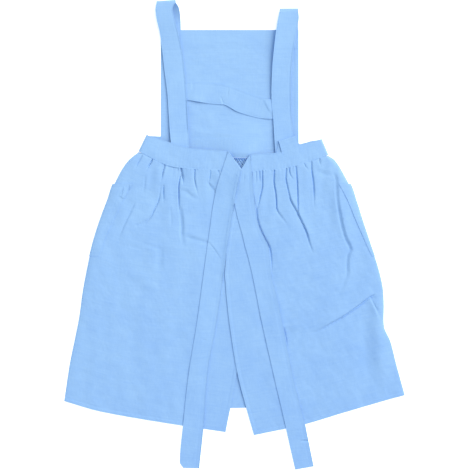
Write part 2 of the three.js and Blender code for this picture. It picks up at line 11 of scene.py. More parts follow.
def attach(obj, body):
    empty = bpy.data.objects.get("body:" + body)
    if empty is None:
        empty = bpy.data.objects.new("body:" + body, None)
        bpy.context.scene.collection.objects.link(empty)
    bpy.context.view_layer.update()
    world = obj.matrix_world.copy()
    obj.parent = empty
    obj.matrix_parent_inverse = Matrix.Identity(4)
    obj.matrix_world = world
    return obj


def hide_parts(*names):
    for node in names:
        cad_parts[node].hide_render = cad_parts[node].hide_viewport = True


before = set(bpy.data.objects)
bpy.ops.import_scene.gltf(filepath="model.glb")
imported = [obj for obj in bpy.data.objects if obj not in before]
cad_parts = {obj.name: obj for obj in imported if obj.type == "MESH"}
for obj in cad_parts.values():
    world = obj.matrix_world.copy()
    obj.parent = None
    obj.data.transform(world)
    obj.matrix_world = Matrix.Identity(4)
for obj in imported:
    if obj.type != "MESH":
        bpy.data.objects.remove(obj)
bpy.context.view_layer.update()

# Waistband: one strip of the linen, doubled and sewn shut, that goes once round the waist. Laid down, its
# front is lowest, it folds over at both sides, and its two ends lie on the back of the apron.
# All sizes are in millimetres and become metres when a mesh is made.
MILLIMETRE = 0.001
BAND_THICK = 1.2
BAND_COLUMNS = 24
FRONT_BAND_Z = 1.0
BACK_BAND_Z = 12.0
BAND_BULGE = {"high": 9.2, "seam": 4.1, "top": 300, "crest": 207, "foot": 185, "middle": 14, "half": 52}
BAND_GROOVE = 0.3
BAND_SEAM = 0.065
BAND_SEWN_ROWS = {"right": 75, "left": 88}
BAND_PULL = {"pitch": 9.5, "sway": 3, "sway_run": 17, "high": 0.5, "level": 0.6}
BAND_STEP = 2.4
FRONT_UNTIL = (2, 5)
BACK_FROM = (8, 11.5)
Rumple = namedtuple("Rumple", "high length seed")
BAND_RUMPLES = [Rumple(0.4, 60, 11), Rumple(0.18, 19, 12)]
STRIP = [("ax", float), ("ay", float), ("bx", float), ("by", float), ("z", float), ("turn", float)]


def strip_table(rows):
    """Knots of a strip: both edges and the height, and where it folds over, the height that it turns to."""
    return np.array([row if len(row) == len(STRIP) else (*row, np.nan) for row in rows], dtype=STRIP)


BAND_ROWS = strip_table([
    (41, 200, 41, 157.5, BACK_BAND_Z),
    (68.75, 202.5, 68.75, 160.5, BACK_BAND_Z),
    (118.75, 207.5, 111, 163.75, BACK_BAND_Z),
    (161, 225.5, 157.75, 173.5, BACK_BAND_Z),
    (211.9, 237.4, 228.9, 197.4, BACK_BAND_Z, FRONT_BAND_Z),
    (190, 234.4, 198, 196, FRONT_BAND_Z),
    (164, 227.5, 170, 195, FRONT_BAND_Z),
    (140, 237, 143, 194, FRONT_BAND_Z),
    (120, 239.6, 122, 193.5, FRONT_BAND_Z),
    (0, 240, 0, 193, FRONT_BAND_Z),
    (-120, 243.5, -125, 197.5, FRONT_BAND_Z),
    (-213.8, 247.6, -233.8, 206.3, FRONT_BAND_Z, BACK_BAND_Z),
    (-162.5, 231, -171, 175, BACK_BAND_Z),
    (-111, 216.5, -121, 166, BACK_BAND_Z),
    (-33.75, 210.5, -33.75, 161, BACK_BAND_Z),
    (-19, 208.5, -19, 160.5, BACK_BAND_Z),
])


def smooth(at, values, where):
    """Smooth curve through values at the given places, held flat past its ends."""
    table = np.asarray(values, float).reshape(len(at), -1)
    slope = np.empty_like(table)
    slope[1:-1] = (table[2:] - table[:-2]) / (at[2:] - at[:-2])[:, None]
    slope[0] = (table[1] - table[0]) / (at[1] - at[0])
    slope[-1] = (table[-1] - table[-2]) / (at[-1] - at[-2])
    where = np.clip(where, at[0], at[-1])
    i = np.clip(np.searchsorted(at, where) - 1, 0, len(at) - 2)
    span = (at[i + 1] - at[i])[..., None]
    k = (where - at[i])[..., None] / span
    ease = k * k * (3 - 2 * k)
    bend = span * k * (1 - k)
    middle = table[i] + (table[i + 1] - table[i]) * ease
    return middle + bend * ((1 - k) * slope[i] - k * slope[i + 1])


def step_between(value, low, high):
    """Share that rises smoothly from nothing to one between two values."""
    k = np.clip((value - low) / (high - low), 0, 1)
    return k * k * (3 - 2 * k)


def bell(off, half):
    """Share that falls smoothly from one in the middle to nothing on both sides."""
    return np.exp(-((off / half) ** 2))


def edges(row, z):
    """Both ends of a strip's section at the given height."""
    return [(row["ax"], row["ay"], z), (row["bx"], row["by"], z)]


def lay_run(knots, step):
    """Both edges of a strip through its knots, with a section every few millimetres."""
    knots = np.array(knots, float)
    gaps = np.linalg.norm(np.diff(knots.mean(axis=1), axis=0), axis=1)
    at = np.concatenate([[0], np.cumsum(gaps)])
    where = np.linspace(0, at[-1], max(3, round(at[-1] / step)) + 1)
    return smooth(at, knots.reshape(len(knots), 6), where).reshape(-1, 2, 3)


def turn_over(before, row, steps=10):
    """Half circle of sections that carries a strip over its fold line to the next height."""
    outward = np.array([row["by"] - row["ay"], row["ax"] - row["bx"], 0.0])
    outward /= np.linalg.norm(outward)
    travel = np.mean(edges(row, 0), axis=0) - np.mean(edges(before, 0), axis=0)
    outward *= math.copysign(1, outward @ travel)
    half = (row["turn"] - row["z"]) / 2
    angles = np.linspace(0, math.pi, steps + 1)[1:-1]
    heights = row["z"] + half * (1 - np.cos(angles))
    reaches = abs(half) * np.sin(angles)
    return [np.array(edges(row, z)) + outward * reach for z, reach in zip(heights, reaches)]


def strip(table, step=3.0):
    """Sections of a cloth strip, edge to edge, along its table; a row with a turn folds over there."""
    sections = []
    run = []
    for k, row in enumerate(table):
        run.append(edges(row, row["z"]))
        turns = not np.isnan(row["turn"])
        if turns or k == len(table) - 1:
            sections.extend(lay_run(run, step))
        if turns:
            sections.extend(turn_over(table[k - 1], row))
            run = [edges(row, row["turn"])]
    return np.array(sections)


def widen(sections, columns):
    """Grid of points from the two edges of each section."""
    share = np.linspace(0, 1, columns + 1)[None, :, None]
    return sections[:, :1] * (1 - share) + sections[:, 1:] * share


def rumple(x, y, length, seed):
    """Unevenness of cloth that was washed and smoothed by hand, about -1 to 1."""
    draw = np.random.default_rng(seed)
    turns = draw.uniform(0, math.pi, 9)
    phases = draw.uniform(0, 2 * math.pi, 9)
    stretches = draw.uniform(0.6, 1.6, 9)
    total = np.zeros_like(x)
    for turn, phase, stretch in zip(turns, phases, stretches):
        pace = 2 * math.pi / (length * stretch)
        along = x * math.cos(turn) + y * math.sin(turn)
        beside = x * math.sin(turn) - y * math.cos(turn)
        total += np.sin(pace * along + phase + 0.9 * np.sin(0.41 * pace * beside + 3 * phase))
    return total / 4


def sewn_edges(points, columns, deep, inset=3.2, half=1.7):
    """Shallow groove that topstitching pulls along both long edges of a strip."""
    width = np.linalg.norm(points[:, -1] - points[:, 0], axis=1)[:, None]
    from_edge = np.minimum(np.linspace(0, 1, columns + 1), np.linspace(1, 0, columns + 1))[None, :] * width
    return -deep * bell(from_edge - inset, half)


class Wire:
    """A shader socket: arithmetic on it adds Math nodes, and add() puts in any other node."""

    def __init__(self, tree, socket=None):
        self.tree = tree
        self.socket = socket

    def add(self, kind, settings=None, inputs=None, output=0):
        node = self.tree.nodes.new(kind)
        for name, value in (settings or {}).items():
            setattr(node, name, value)
        for name, value in (inputs or {}).items():
            if isinstance(value, Wire):
                self.tree.links.new(value.socket, node.inputs[name])
            else:
                node.inputs[name].default_value = value
        return Wire(self.tree, node.outputs[output] if node.outputs else None)

    def maths(self, operation, *values):
        return self.add("ShaderNodeMath", {"operation": operation}, dict(enumerate(values)))

    def __add__(self, other):
        return self.maths("ADD", self, other)

    __radd__ = __add__

    def __mul__(self, other):
        return self.maths("MULTIPLY", self, other)

    __rmul__ = __mul__

    def __sub__(self, other):
        return self.maths("SUBTRACT", self, other)

    def __rsub__(self, other):
        return self.maths("SUBTRACT", other, self)


LINEN_BLUE = (0.325, 0.565, 0.900, 1)
LINEN_DEEP = (0.245, 0.462, 0.862, 1)
THREAD_PITCH = 0.0009
SLUB_STRETCHES = ((28, 900, 1), (900, 28, 1))
STREAK_STRETCH = (14, 230, 1)
# Mottle, slub and streak are the linen's own uneven tone; across and along darken it towards the lower right,
# a painted shade for the light falling off there.
DYE_AND_PAINTED_FALLOFF = {"mottle": 1.2, "slub": 0.5, "streak": 0.45, "across": 0.2, "along": 0.4, "mean": 0.33}
NAP = {"weave": 0.35, "slub": 0.8, "strength": 0.35, "deep": 0.00025}
CRUMPLE = {"strength": 0.5, "deep": 0.0018}


def dyed_stuff(name, finish_of):
    """Material whose finish is worked out by a function that adds its nodes to an empty tree."""
    material = bpy.data.materials.new(name)
    material.use_nodes = True
    material.node_tree.nodes.clear()
    start = Wire(material.node_tree)
    surface = start.add("ShaderNodeBsdfPrincipled", {}, finish_of(start))
    start.add("ShaderNodeOutputMaterial", {}, {"Surface": surface})
    return material


def linen_finish(start):
    """Plain-weave linen: crossing threads, uneven slubs both ways, and a soft matt nap; its colour also grows
    slowly darker towards the lower right, a painted shade for the light falling off there.
    """
    cloth = start.add("ShaderNodeUVMap", {"uv_map": "cloth"})
    threads = start.add("ShaderNodeSeparateXYZ", {}, {"Vector": cloth})
    weft = threads.maths("SINE", threads * (2 * math.pi / THREAD_PITCH))
    across = Wire(start.tree, threads.socket.node.outputs["Y"])
    warp = across.maths("SINE", across * (2 * math.pi / THREAD_PITCH))
    weave = weft * warp
    slubs = []
    for scale in SLUB_STRETCHES:
        stretched = start.add("ShaderNodeMapping", {}, {"Vector": cloth, "Scale": scale})
        noise = {"Vector": stretched, "Scale": 1.0, "Detail": 2.0, "Roughness": 0.6}
        slubs.append(start.add("ShaderNodeTexNoise", {"noise_dimensions": "2D"}, noise) - 0.5)
    slub = slubs[0] + slubs[1]
    drawn = start.add("ShaderNodeMapping", {}, {"Vector": cloth, "Scale": STREAK_STRETCH})
    streaky = {"Vector": drawn, "Scale": 1.0, "Detail": 3.0, "Roughness": 0.6}
    streak = start.add("ShaderNodeTexNoise", {"noise_dimensions": "2D"}, streaky) - 0.5
    place = start.add("ShaderNodeTexCoord", output="Object")
    broad = {"Vector": place, "Scale": 12.0, "Detail": 6.0, "Roughness": 0.72}
    mottle = start.add("ShaderNodeTexNoise", {}, broad)
    painted_falloff_x = start.add("ShaderNodeSeparateXYZ", {}, {"Vector": place})
    painted_falloff_y = Wire(start.tree, painted_falloff_x.socket.node.outputs["Y"])
    tone_and_painted_falloff = (mottle - 0.5) * DYE_AND_PAINTED_FALLOFF["mottle"] + slub * DYE_AND_PAINTED_FALLOFF["slub"] + streak * DYE_AND_PAINTED_FALLOFF["streak"]
    # Painted shade: the object's x and y tilt the colour darker towards the lower right, where the light
    # falls off.
    tone_and_painted_falloff = tone_and_painted_falloff + painted_falloff_x * DYE_AND_PAINTED_FALLOFF["across"] - painted_falloff_y * DYE_AND_PAINTED_FALLOFF["along"] + DYE_AND_PAINTED_FALLOFF["mean"]
    fade = start.maths("MINIMUM", start.maths("MAXIMUM", tone_and_painted_falloff, 0.0), 1.0)
    blue = start.add("ShaderNodeMix", {"data_type": "RGBA"}, {0: fade, 6: LINEN_BLUE, 7: LINEN_DEEP}, 2)
    wrinkle = {"Vector": place, "Scale": 48.0, "Detail": 4.0, "Roughness": 0.62}
    crumple = start.add("ShaderNodeTexNoise", {}, wrinkle)
    height = weave * NAP["weave"] + slub * NAP["slub"]
    raised_nap = {"Strength": NAP["strength"], "Distance": NAP["deep"], "Height": height}
    nap = start.add("ShaderNodeBump", {}, raised_nap)
    creasing = {
        "Strength": CRUMPLE["strength"],
        "Distance": CRUMPLE["deep"],
        "Height": crumple,
        "Normal": nap,
    }
    soft = start.add("ShaderNodeBump", {}, creasing)
    return {
        "Base Color": blue,
        "Roughness": 0.86 + slub * 0.15,
        "Specular IOR Level": 0.2,
        "Sheen Weight": 0.18,
        "Sheen Roughness": 0.55,
        "Sheen Tint": (0.75, 0.86, 1.0, 1),
        "Normal": soft,
    }


linen = dyed_stuff("linen", linen_finish)


def finished_piece(name, shape, material):
    """Piece of the apron from a finished bmesh; all of them lie still on the one body."""
    mesh = bpy.data.meshes.new(name)
    shape.to_mesh(mesh)
    shape.free()
    mesh.materials.append(material)
    piece = bpy.data.objects.new(name, mesh)
    bpy.context.collection.objects.link(piece)
    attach(piece, "root")
    return piece


def lay_cloth(node, points, thick, seams):
    """A sheet cut as a grid and moved, point by point, to where it lies, and the stitches of its seams.

    Its UV map holds the cloth's own lengths.
    """
    stitching = sew(node + "_stitching", seams)
    rows, columns = points.shape[:2]
    sheet = bmesh.new()
    bmesh.ops.create_grid(sheet, x_segments=columns - 1, y_segments=rows - 1, size=0.5)
    width = np.linalg.norm(np.diff(points[-1], axis=0), axis=1)
    length = np.linalg.norm(np.diff(points[:, columns // 2], axis=0), axis=1)
    u = np.concatenate([[0], np.cumsum(width)]) * MILLIMETRE
    v = np.concatenate([[0], np.cumsum(length)]) * MILLIMETRE
    cell = {}
    for vert in sheet.verts:
        i = round((vert.co.x + 0.5) * (columns - 1))
        j = round((vert.co.y + 0.5) * (rows - 1))
        cell[vert] = (u[i], v[j])
        vert.co = points[j, i] * MILLIMETRE
    cloth = sheet.loops.layers.uv.new("cloth")
    for face in sheet.faces:
        face.smooth = True
        for loop in face.loops:
            loop[cloth].uv = cell[loop.vert]
    for edge in sheet.edges:
        edge.smooth = not edge.is_boundary
    piece = finished_piece(node + "_cloth", sheet, linen)
    wall = piece.modifiers.new("cloth", "SOLIDIFY")
    wall.thickness = thick * MILLIMETRE
    wall.offset = 0
    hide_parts(node)


STITCH = {"pitch": 3.4, "long": 2.5, "radius": 0.2, "sides": 6}
THREAD_BLUE = (0.262, 0.480, 0.86, 1)


def thread_finish(start):
    """Matt cotton thread dyed to match the linen, a little uneven along its length."""
    place = start.add("ShaderNodeTexCoord", output="Object")
    twist = start.add("ShaderNodeTexNoise", {}, {"Vector": place, "Scale": 900.0, "Detail": 2.0})
    blue = start.add("ShaderNodeMix", {"data_type": "RGBA"}, {0: twist, 6: THREAD_BLUE, 7: LINEN_BLUE}, 2)
    return {"Base Color": blue, "Roughness": 0.75 + twist * 0.2, "Specular IOR Level": 0.25}


thread = dyed_stuff("thread", thread_finish)


def seam_on(points, i, j, lift):
    """Points along a line on a laid cloth, given in its columns and rows, raised onto its face."""
    i, j = np.broadcast_arrays(np.asarray(i, float), np.asarray(j, float))
    i0 = np.clip(np.floor(i).astype(int), 0, points.shape[1] - 2)
    j0 = np.clip(np.floor(j).astype(int), 0, points.shape[0] - 2)
    s = (i - i0)[:, None]
    t = (j - j0)[:, None]
    upper = points[j0, i0] * (1 - s) + points[j0, i0 + 1] * s
    lower = points[j0 + 1, i0] * (1 - s) + points[j0 + 1, i0 + 1] * s
    return upper * (1 - t) + lower * t + np.array([0, 0, lift])


def sew(name, seams):
    """Rows of separate stitches along the given lines, each stitch a short round length of thread."""
    rows = bmesh.new()
    for line in seams:
        gaps = np.linalg.norm(np.diff(line, axis=0), axis=1)
        at = np.concatenate([[0], np.cumsum(gaps)])
        for middle in np.arange(STITCH["pitch"] / 2, at[-1], STITCH["pitch"]):
            ends = [middle - STITCH["long"] / 2, middle + STITCH["long"] / 2]
            first, last = (Vector([np.interp(end, at, line[:, k]) for k in range(3)]) for end in ends)
            lie = (last - first).to_track_quat("Z", "Y").to_matrix().to_4x4()
            lie = Matrix.Translation((first + last) * MILLIMETRE / 2) @ lie
            radius = STITCH["radius"] * MILLIMETRE
            size = {"radius1": radius, "radius2": radius, "depth": (last - first).length * MILLIMETRE}
            bmesh.ops.create_cone(rows, cap_ends=True, segments=STITCH["sides"], matrix=lie, **size)
    return finished_piece(name, rows, thread)


band = widen(strip(BAND_ROWS, BAND_STEP), BAND_COLUMNS)
on_back = step_between(band[..., 2], *BACK_FROM)
in_front = 1 - step_between(band[..., 2], *FRONT_UNTIL)
lower_edge = np.linspace(0, 1, BAND_COLUMNS + 1)[None, :] ** 3
sway = BAND_PULL["sway"] * np.sin(band[..., 0] / BAND_PULL["sway_run"])
pull = np.sin(math.pi * (band[..., 0] + sway) / BAND_PULL["pitch"])
pull = BAND_PULL["high"] * lower_edge * (np.abs(pull) - BAND_PULL["level"])


def band_uneven(x, y):
    return sum(wave.high * rumple(x, y, wave.length, wave.seed) for wave in BAND_RUMPLES)


def waist_lift(x, y):
    """Height of the slack front where it bulges up into the gap between the band's two ends."""
    rise = BAND_BULGE["high"] * step_between(y, BAND_BULGE["top"], BAND_BULGE["crest"])
    fall = BAND_BULGE["high"] - BAND_BULGE["seam"]
    fall = fall * step_between(y, BAND_BULGE["crest"], BAND_BULGE["foot"])
    return (rise - fall) * bell(x - BAND_BULGE["middle"], BAND_BULGE["half"])


uneven = band_uneven(band[..., 0], band[..., 1])
lift = waist_lift(band[..., 0], band[..., 1])
band[..., 2] += on_back * (pull + uneven + sewn_edges(band, BAND_COLUMNS, BAND_GROOVE)) + in_front * lift
sewn_rows = [np.arange(BAND_SEWN_ROWS["right"]), np.arange(len(band) - 1 - BAND_SEWN_ROWS["left"], len(band))]
band_seams = [
    seam_on(band, BAND_COLUMNS * share, run, BAND_THICK / 2)
    for run in sewn_rows for share in (BAND_SEAM, 1 - BAND_SEAM)
]
lay_cloth("waistband", band, BAND_THICK, band_seams)

# Bib: one rectangle of the linen above the waist, lying face down, so its inside shows. A deep facing is
# turned in at its top, narrow hems down its sides, and its lower edge is sewn into the waistband.
BIB = {"left": -184.0, "right": 160.0, "top": 512.5, "facing": 46.0, "hem": 10.0, "seam": 4.0}
BIB_THICK = 0.4
BIB_LAYER = 0.42
BIB_REST = 0.3
BIB_SEAM = {"rise": 0.7, "foot": 240.0, "fade": 290.0}
BIB_GRID = {"across": 122, "down": 100, "inside": 2.0}
BIB_SETTLE = {"foot": 240.0, "full": 256.0, "side": 25.0, "share": 0.8}
BIB_SEAMS = {"top": 2, "foot": 6, "side": 14, "facing_row": 1.1, "hem_columns": (1.5, 2.5), "sunk": 0.8}
BIB_RUMPLES = [Rumple(0.2, 75, 5), Rumple(0.09, 22, 6)]
FACING_ROWS = 17
FACING_RISE = [0.05, 0.15, 0.3, 0.5, 0.7, 0.85, 0.95]
HEM_RISE = [0.2, 0.7, 1, 1, 1]
WRINKLE_ENDS = ((-0.05, 0.3), (0.7, 1.05))
Wrinkle = namedtuple("Wrinkle", "x0 y0 x1 y1 half high")
BIB_WRINKLES = [
    Wrinkle(-95, 482, 40, 484, 4, 0.35),
    Wrinkle(-120, 455, 75, 457, 3, 0.35),
    Wrinkle(-92, 447, -40, 449, 3, 0.45),
    Wrinkle(40, 443, 78, 440, 3, 0.45),
    Wrinkle(-110, 437, 20, 440, 4, 0.30),
    Wrinkle(-20, 418, 85, 416, 5, 0.35),
    Wrinkle(-112, 318, -86, 292, 8, 0.8),
    Wrinkle(-70, 306, -52, 268, 9, 0.7),
    Wrinkle(-110, 262, -45, 250, 5, 0.8),
    Wrinkle(-60, 256, 30, 246, 4, 0.6),
    Wrinkle(-30, 290, 40, 274, 7, 0.5),
    Wrinkle(-108, 252, -20, 236, 4, 0.7),
    Wrinkle(10, 262, 70, 252, 5, 0.6),
    Wrinkle(14, 300, 80, 288, 7, 0.4),
]


def through(table, against, column):
    """Smooth curve through a table: the value of one column against another."""
    order = np.sort(table, order=against)
    return lambda at: smooth(order[against], order[column], np.asarray(at, float))[..., 0]


def wrinkled(x, y, wrinkles):
    """Height of soft straight wrinkles, each fading towards its ends."""
    height = np.zeros_like(x)
    grows, fades = WRINKLE_ENDS
    for fold in wrinkles:
        run = np.array([fold.x1 - fold.x0, fold.y1 - fold.y0])
        long = np.linalg.norm(run)
        run = run / long
        along = ((x - fold.x0) * run[0] + (y - fold.y0) * run[1]) / long
        beside = (x - fold.x0) * run[1] - (y - fold.y0) * run[0]
        ends = step_between(along, *grows) * (1 - step_between(along, *fades))
        height += fold.high * ends * bell(beside, fold.half)
    return height


def raised(height, x, y, rumples, seed=0):
    """Height with unevenness added that only lifts the cloth off what it lies on."""
    for wave in rumples:
        height = height + wave.high * (1 + rumple(x, y, wave.length, seed + wave.seed))
    return height


def turned_edge(outer, width, layer, steps=8):
    """Positions and heights of a hem: from its inner edge out to the fold and round onto the sheet."""
    toward = math.copysign(1, outer)
    angles = np.linspace(0, math.pi, steps + 1)
    flat = np.linspace(outer - toward * width, outer - toward * layer / 2, len(HEM_RISE) + 1)[:-1]
    bend = outer - toward * layer / 2 + toward * layer / 2 * np.sin(angles)
    at = np.concatenate([flat, bend])
    rise = np.concatenate([HEM_RISE, (1 + np.cos(angles)) / 2])
    return at, rise


front_band = BAND_ROWS[BAND_ROWS["z"] == FRONT_BAND_Z]
bib_foot = through(front_band, "ax", "ay")
left_at, left_rise = turned_edge(BIB["left"], BIB["hem"], BIB_LAYER)
right_at, right_rise = turned_edge(BIB["right"], BIB["hem"], BIB_LAYER)
inside = BIB_GRID["inside"]
middle_at = np.linspace(BIB["left"] + inside, BIB["right"] - inside, BIB_GRID["across"])
bib_x = np.concatenate([left_at, middle_at, right_at[::-1]])
side_rise = np.concatenate([left_rise, np.zeros(BIB_GRID["across"]), right_rise[::-1]])
top_at, top_rise = turned_edge(BIB["top"], BIB["facing"], BIB_LAYER)
bend = len(HEM_RISE)
facing_at = np.linspace(top_at[0] + 0.5, top_at[bend], FACING_ROWS)[:-1]
top_at = np.concatenate([top_at[:1], facing_at, top_at[bend:]])
top_rise = np.concatenate([FACING_RISE, np.ones(FACING_ROWS - len(FACING_RISE)), top_rise[bend:]])
inner_top = BIB["top"] - inside
down = np.linspace(inner_top, 0, BIB_GRID["down"])[:, None] / inner_top
bib_rows = len(top_at) + BIB_GRID["down"]
foot = bib_foot(bib_x) - BIB["seam"]
x = np.tile(bib_x, (bib_rows, 1))
y = np.concatenate([np.repeat(top_at[:, None], len(bib_x), 1), foot + (inner_top - foot) * down])
bib_rise = np.concatenate([top_rise, np.zeros(BIB_GRID["down"])])[:, None] + side_rise[None, :]
ripple = raised(wrinkled(x, y, BIB_WRINKLES), x, y, BIB_RUMPLES)
settle = step_between(y, BIB_SETTLE["foot"], BIB_SETTLE["full"])
settle = settle * step_between(x, BIB["left"], BIB["left"] + BIB_SETTLE["side"])
settle = settle * (1 - step_between(x, BIB["right"] - BIB_SETTLE["side"], BIB["right"]))
seam_rise = BIB_SEAM["rise"] * (1 - step_between(y, BIB_SEAM["foot"], BIB_SEAM["fade"]))
bib_lie = BIB_REST + BIB_LAYER * bib_rise + ripple * settle * BIB_SETTLE["share"] + seam_rise
bib = np.stack([x, y, bib_lie + waist_lift(x, y)], axis=-1)
rows_down = np.arange(len(top_at) + BIB_SEAMS["top"], bib_rows - BIB_SEAMS["foot"])
sunk = BIB_THICK / 2 - STITCH["radius"] * BIB_SEAMS["sunk"]
facing_columns = np.arange(BIB_SEAMS["side"], len(bib_x) - BIB_SEAMS["side"])
facing_line = seam_on(bib, facing_columns, BIB_SEAMS["facing_row"], sunk)
first, last = BIB_SEAMS["hem_columns"]
hem_lines = [seam_on(bib, column, rows_down, sunk) for column in (first, len(bib_x) - last)]
lay_cloth("bib", bib, BIB_THICK, [facing_line, *hem_lines])

# Skirt front: the front of the skirt, one wide panel of the linen gathered to the waistband. It lies on the
# table with its outside down, a little higher over the two pockets sewn on that side.
SKIRT_THICK = 0.8
TABLE_GAP = 0.05
EDGE = [("y", float), ("x", float)]
LEFT_OUTLINE = np.array([
    (206.6, -238.75), (187.5, -262.5), (157.5, -283.75), (97.5, -312), (37.5, -335), (-22.5, -353.75),
    (-82.5, -367.5), (-142.5, -378.75), (-202.5, -387), (-262.5, -398.75), (-322.5, -411), (-415, -425),
], dtype=EDGE)
RIGHT_OUTLINE = np.array([
    (197.4, 233.75), (187.5, 249), (157.5, 268.75), (97.5, 298.75), (37.5, 318.75), (-22.5, 338.75),
    (-82.5, 358.75), (-132.5, 370), (-172.5, 372.5), (-230, 373.5), (-265, 388.75), (-322.5, 403.75),
    (-400, 425),
], dtype=EDGE)
FRONT_HEM = np.array([(-415, -425), (-432.5, 1.25), (-400, 425)], dtype=EDGE)
POCKET = {"mouth": 127.5, "bottom": -52.5, "under": 118.0, "proud": 4.0, "drop": 45.0}
POCKET_LIFT = {"high": 1.5, "margin": 5.0, "fade": 37.0, "slope": 32.0}
ROLL = {"over": 16.0, "under": 9.0, "columns": 14}
WAIST_CROWDING = 1.3
FRONT_TUCK = 0.5
FRONT_GRID = {"across": 240, "down": 110, "crowd": 0.6, "hem_row": 108.8, "seam_ends": (4, 3)}
FRONT_WAVES = {"pitch": 21.0, "start": (-1, 2.5), "fade": (12, 70), "sides": (16, 48)}
GAP_PLEATS = {"pitch": 6.0, "lean": 0.6, "sharp": 0.4, "high": 5.2, "swell": 2.8, "full": 12,
              "middle": 14, "half": 34, "fade": (24, 60)}
left_outline = through(LEFT_OUTLINE, "y", "x")
right_outline = through(RIGHT_OUTLINE, "y", "x")
front_waist = through(front_band, "bx", "by")


def inset_of(x, y):
    """Distance in from the nearer side fold."""
    return np.minimum(x - left_outline(y), right_outline(y) - x)


def pocket_lift(x, y):
    """Height by which the skirt front lies higher over the pocket under it."""
    edge = POCKET["under"]
    inside = 1 - step_between(inset_of(x, y), edge + POCKET_LIFT["margin"], edge + POCKET_LIFT["fade"])
    low = POCKET["bottom"] - POCKET_LIFT["margin"]
    high = POCKET["mouth"] + POCKET_LIFT["margin"]
    below = step_between(y, low - POCKET_LIFT["slope"], low)
    above = 1 - step_between(y, high, high + POCKET_LIFT["slope"])
    return POCKET_LIFT["high"] * inside * below * above


def front_height(x, y):
    """Height of the skirt front: on the table, over the pockets, rippled by its gathers."""
    drop = front_waist(x) - y
    fade = step_between(drop, *FRONT_WAVES["start"]) * (1 - step_between(drop, *FRONT_WAVES["fade"]))
    wave = np.abs(np.sin(math.pi * (x + 4 * np.sin(x / 23)) / FRONT_WAVES["pitch"]))
    turn = (x - GAP_PLEATS["lean"] * drop + 1.2 * np.sin(x / 6)) / GAP_PLEATS["pitch"]
    pleat = bell(np.sin(math.pi * turn), GAP_PLEATS["sharp"])
    pleat = pleat * np.exp(-(((x - GAP_PLEATS["middle"]) / GAP_PLEATS["half"]) ** 4))
    pleat = pleat * (1 - step_between(drop, *GAP_PLEATS["fade"]))
    pleat = pleat * (GAP_PLEATS["high"] + GAP_PLEATS["swell"] * step_between(drop, 0, GAP_PLEATS["full"]))
    gathers = wave * fade * step_between(inset_of(x, y), *FRONT_WAVES["sides"]) + pleat
    return SKIRT_THICK / 2 + TABLE_GAP + pocket_lift(x, y) + gathers


def side_curve(table):
    """Curve down a side edge, from waist to hem."""
    x = through(table, "y", "x")
    first, last = table["y"][0], table["y"][-1]
    return lambda t: np.stack([x(first + (last - first) * t), first + (last - first) * t], axis=-1)


def edge_curve(table):
    """Curve across a waist or hem edge, from the side to the other end of the panel."""
    y = through(table, "x", "y")
    first, last = table["x"][0], table["x"][-1]
    return lambda s: np.stack([first + (last - first) * s, y(first + (last - first) * s)], axis=-1)


def patch(side, opposite, waist, hem, s, t):
    """Flat panel whose four edges are the given curves; s runs across it and t from waist to hem."""
    s1, t1 = s[..., None], t[..., None]
    ends = [curve(np.array(k, float)) for curve in (side, opposite) for k in (0, 1)]
    lengthways = side(t) * (1 - s1) + opposite(t) * s1
    crossways = waist(s) * (1 - t1) + hem(s) * t1
    upper = ends[0] * (1 - s1) + ends[2] * s1
    lower = ends[1] * (1 - s1) + ends[3] * s1
    return lengthways + crossways - upper * (1 - t1) - lower * t1


waist_points = [(row["by"] - FRONT_TUCK, row["bx"]) for row in front_band[::-1]]
waist_ends = [tuple(outline[0]) for outline in (LEFT_OUTLINE, RIGHT_OUTLINE)]
front_waist_rows = np.array([waist_ends[0], *waist_points, waist_ends[1]], dtype=EDGE)
down = np.linspace(0, 1, FRONT_GRID["down"] + 1) ** WAIST_CROWDING
s, t = np.meshgrid(np.linspace(0, 1, FRONT_GRID["across"] + 1), down)
s = s + FRONT_GRID["crowd"] * np.sin(2 * math.pi * s) / (2 * math.pi)
front_edges = [side_curve(LEFT_OUTLINE), side_curve(RIGHT_OUTLINE)]
width = np.linalg.norm(front_edges[1](t) - front_edges[0](t), axis=-1)
s = (ROLL["under"] + s * (width - 2 * ROLL["under"])) / width
plan = patch(*front_edges, edge_curve(front_waist_rows), edge_curve(FRONT_HEM), s, t)
front = np.dstack([plan, front_height(plan[..., 0], plan[..., 1])])
first, last = FRONT_GRID["seam_ends"]
hem_columns = np.arange(first, FRONT_GRID["across"] - last)
front_hem_line = seam_on(front, hem_columns, FRONT_GRID["hem_row"], SKIRT_THICK / 2)
lay_cloth("skirt_front", front, SKIRT_THICK, [front_hem_line])

# Skirt backs: two panels of the linen, gathered to the back of the waistband. Each rolls over at its side
# fold from the front, and the right one laps over the left one at the hemmed opening.
LEFT_OPENING = np.array([
    (161, 16.25), (-37.5, 18.75), (-212.5, 16.25), (-340, 6.25), (-492.5, -22.25),
], dtype=EDGE)
RIGHT_OPENING = np.array([
    (157, 21.25), (25, -9.5), (-92.5, -24), (-125, -21.8), (-150, -20.2), (-175, -17.8), (-213.75, -13.5),
    (-340, 6.25), (-432.5, 29.5), (-500, 48.75),
], dtype=EDGE)
LEFT_HEM = np.array([(-415, -425), (-441, -333.75), (-472.5, -153.75), (-492.5, -22.25)], dtype=EDGE)
RIGHT_HEM = np.array([
    (-400, 425), (-412.5, 378.75), (-442.5, 276.25), (-472.5, 176.25), (-500, 48.75),
], dtype=EDGE)
BACK_REST = np.array([
    (215, 12), (160, 12), (90, 9.8), (-60, 8.2), (-300, 5.0), (-500, 2.5),
], dtype=[("y", float), ("z", float)])
OPENING_SINK = np.array([
    (165, 1.8), (120, 1.2), (40, 0), (-500, 0),
], dtype=[("y", float), ("drop", float)])
LAYER_GAP = 0.15
OVERLAP_DROP = 1.9
SEAM_TUCK = {"deep": 6.0, "inset": (3, 15), "fade": 8}
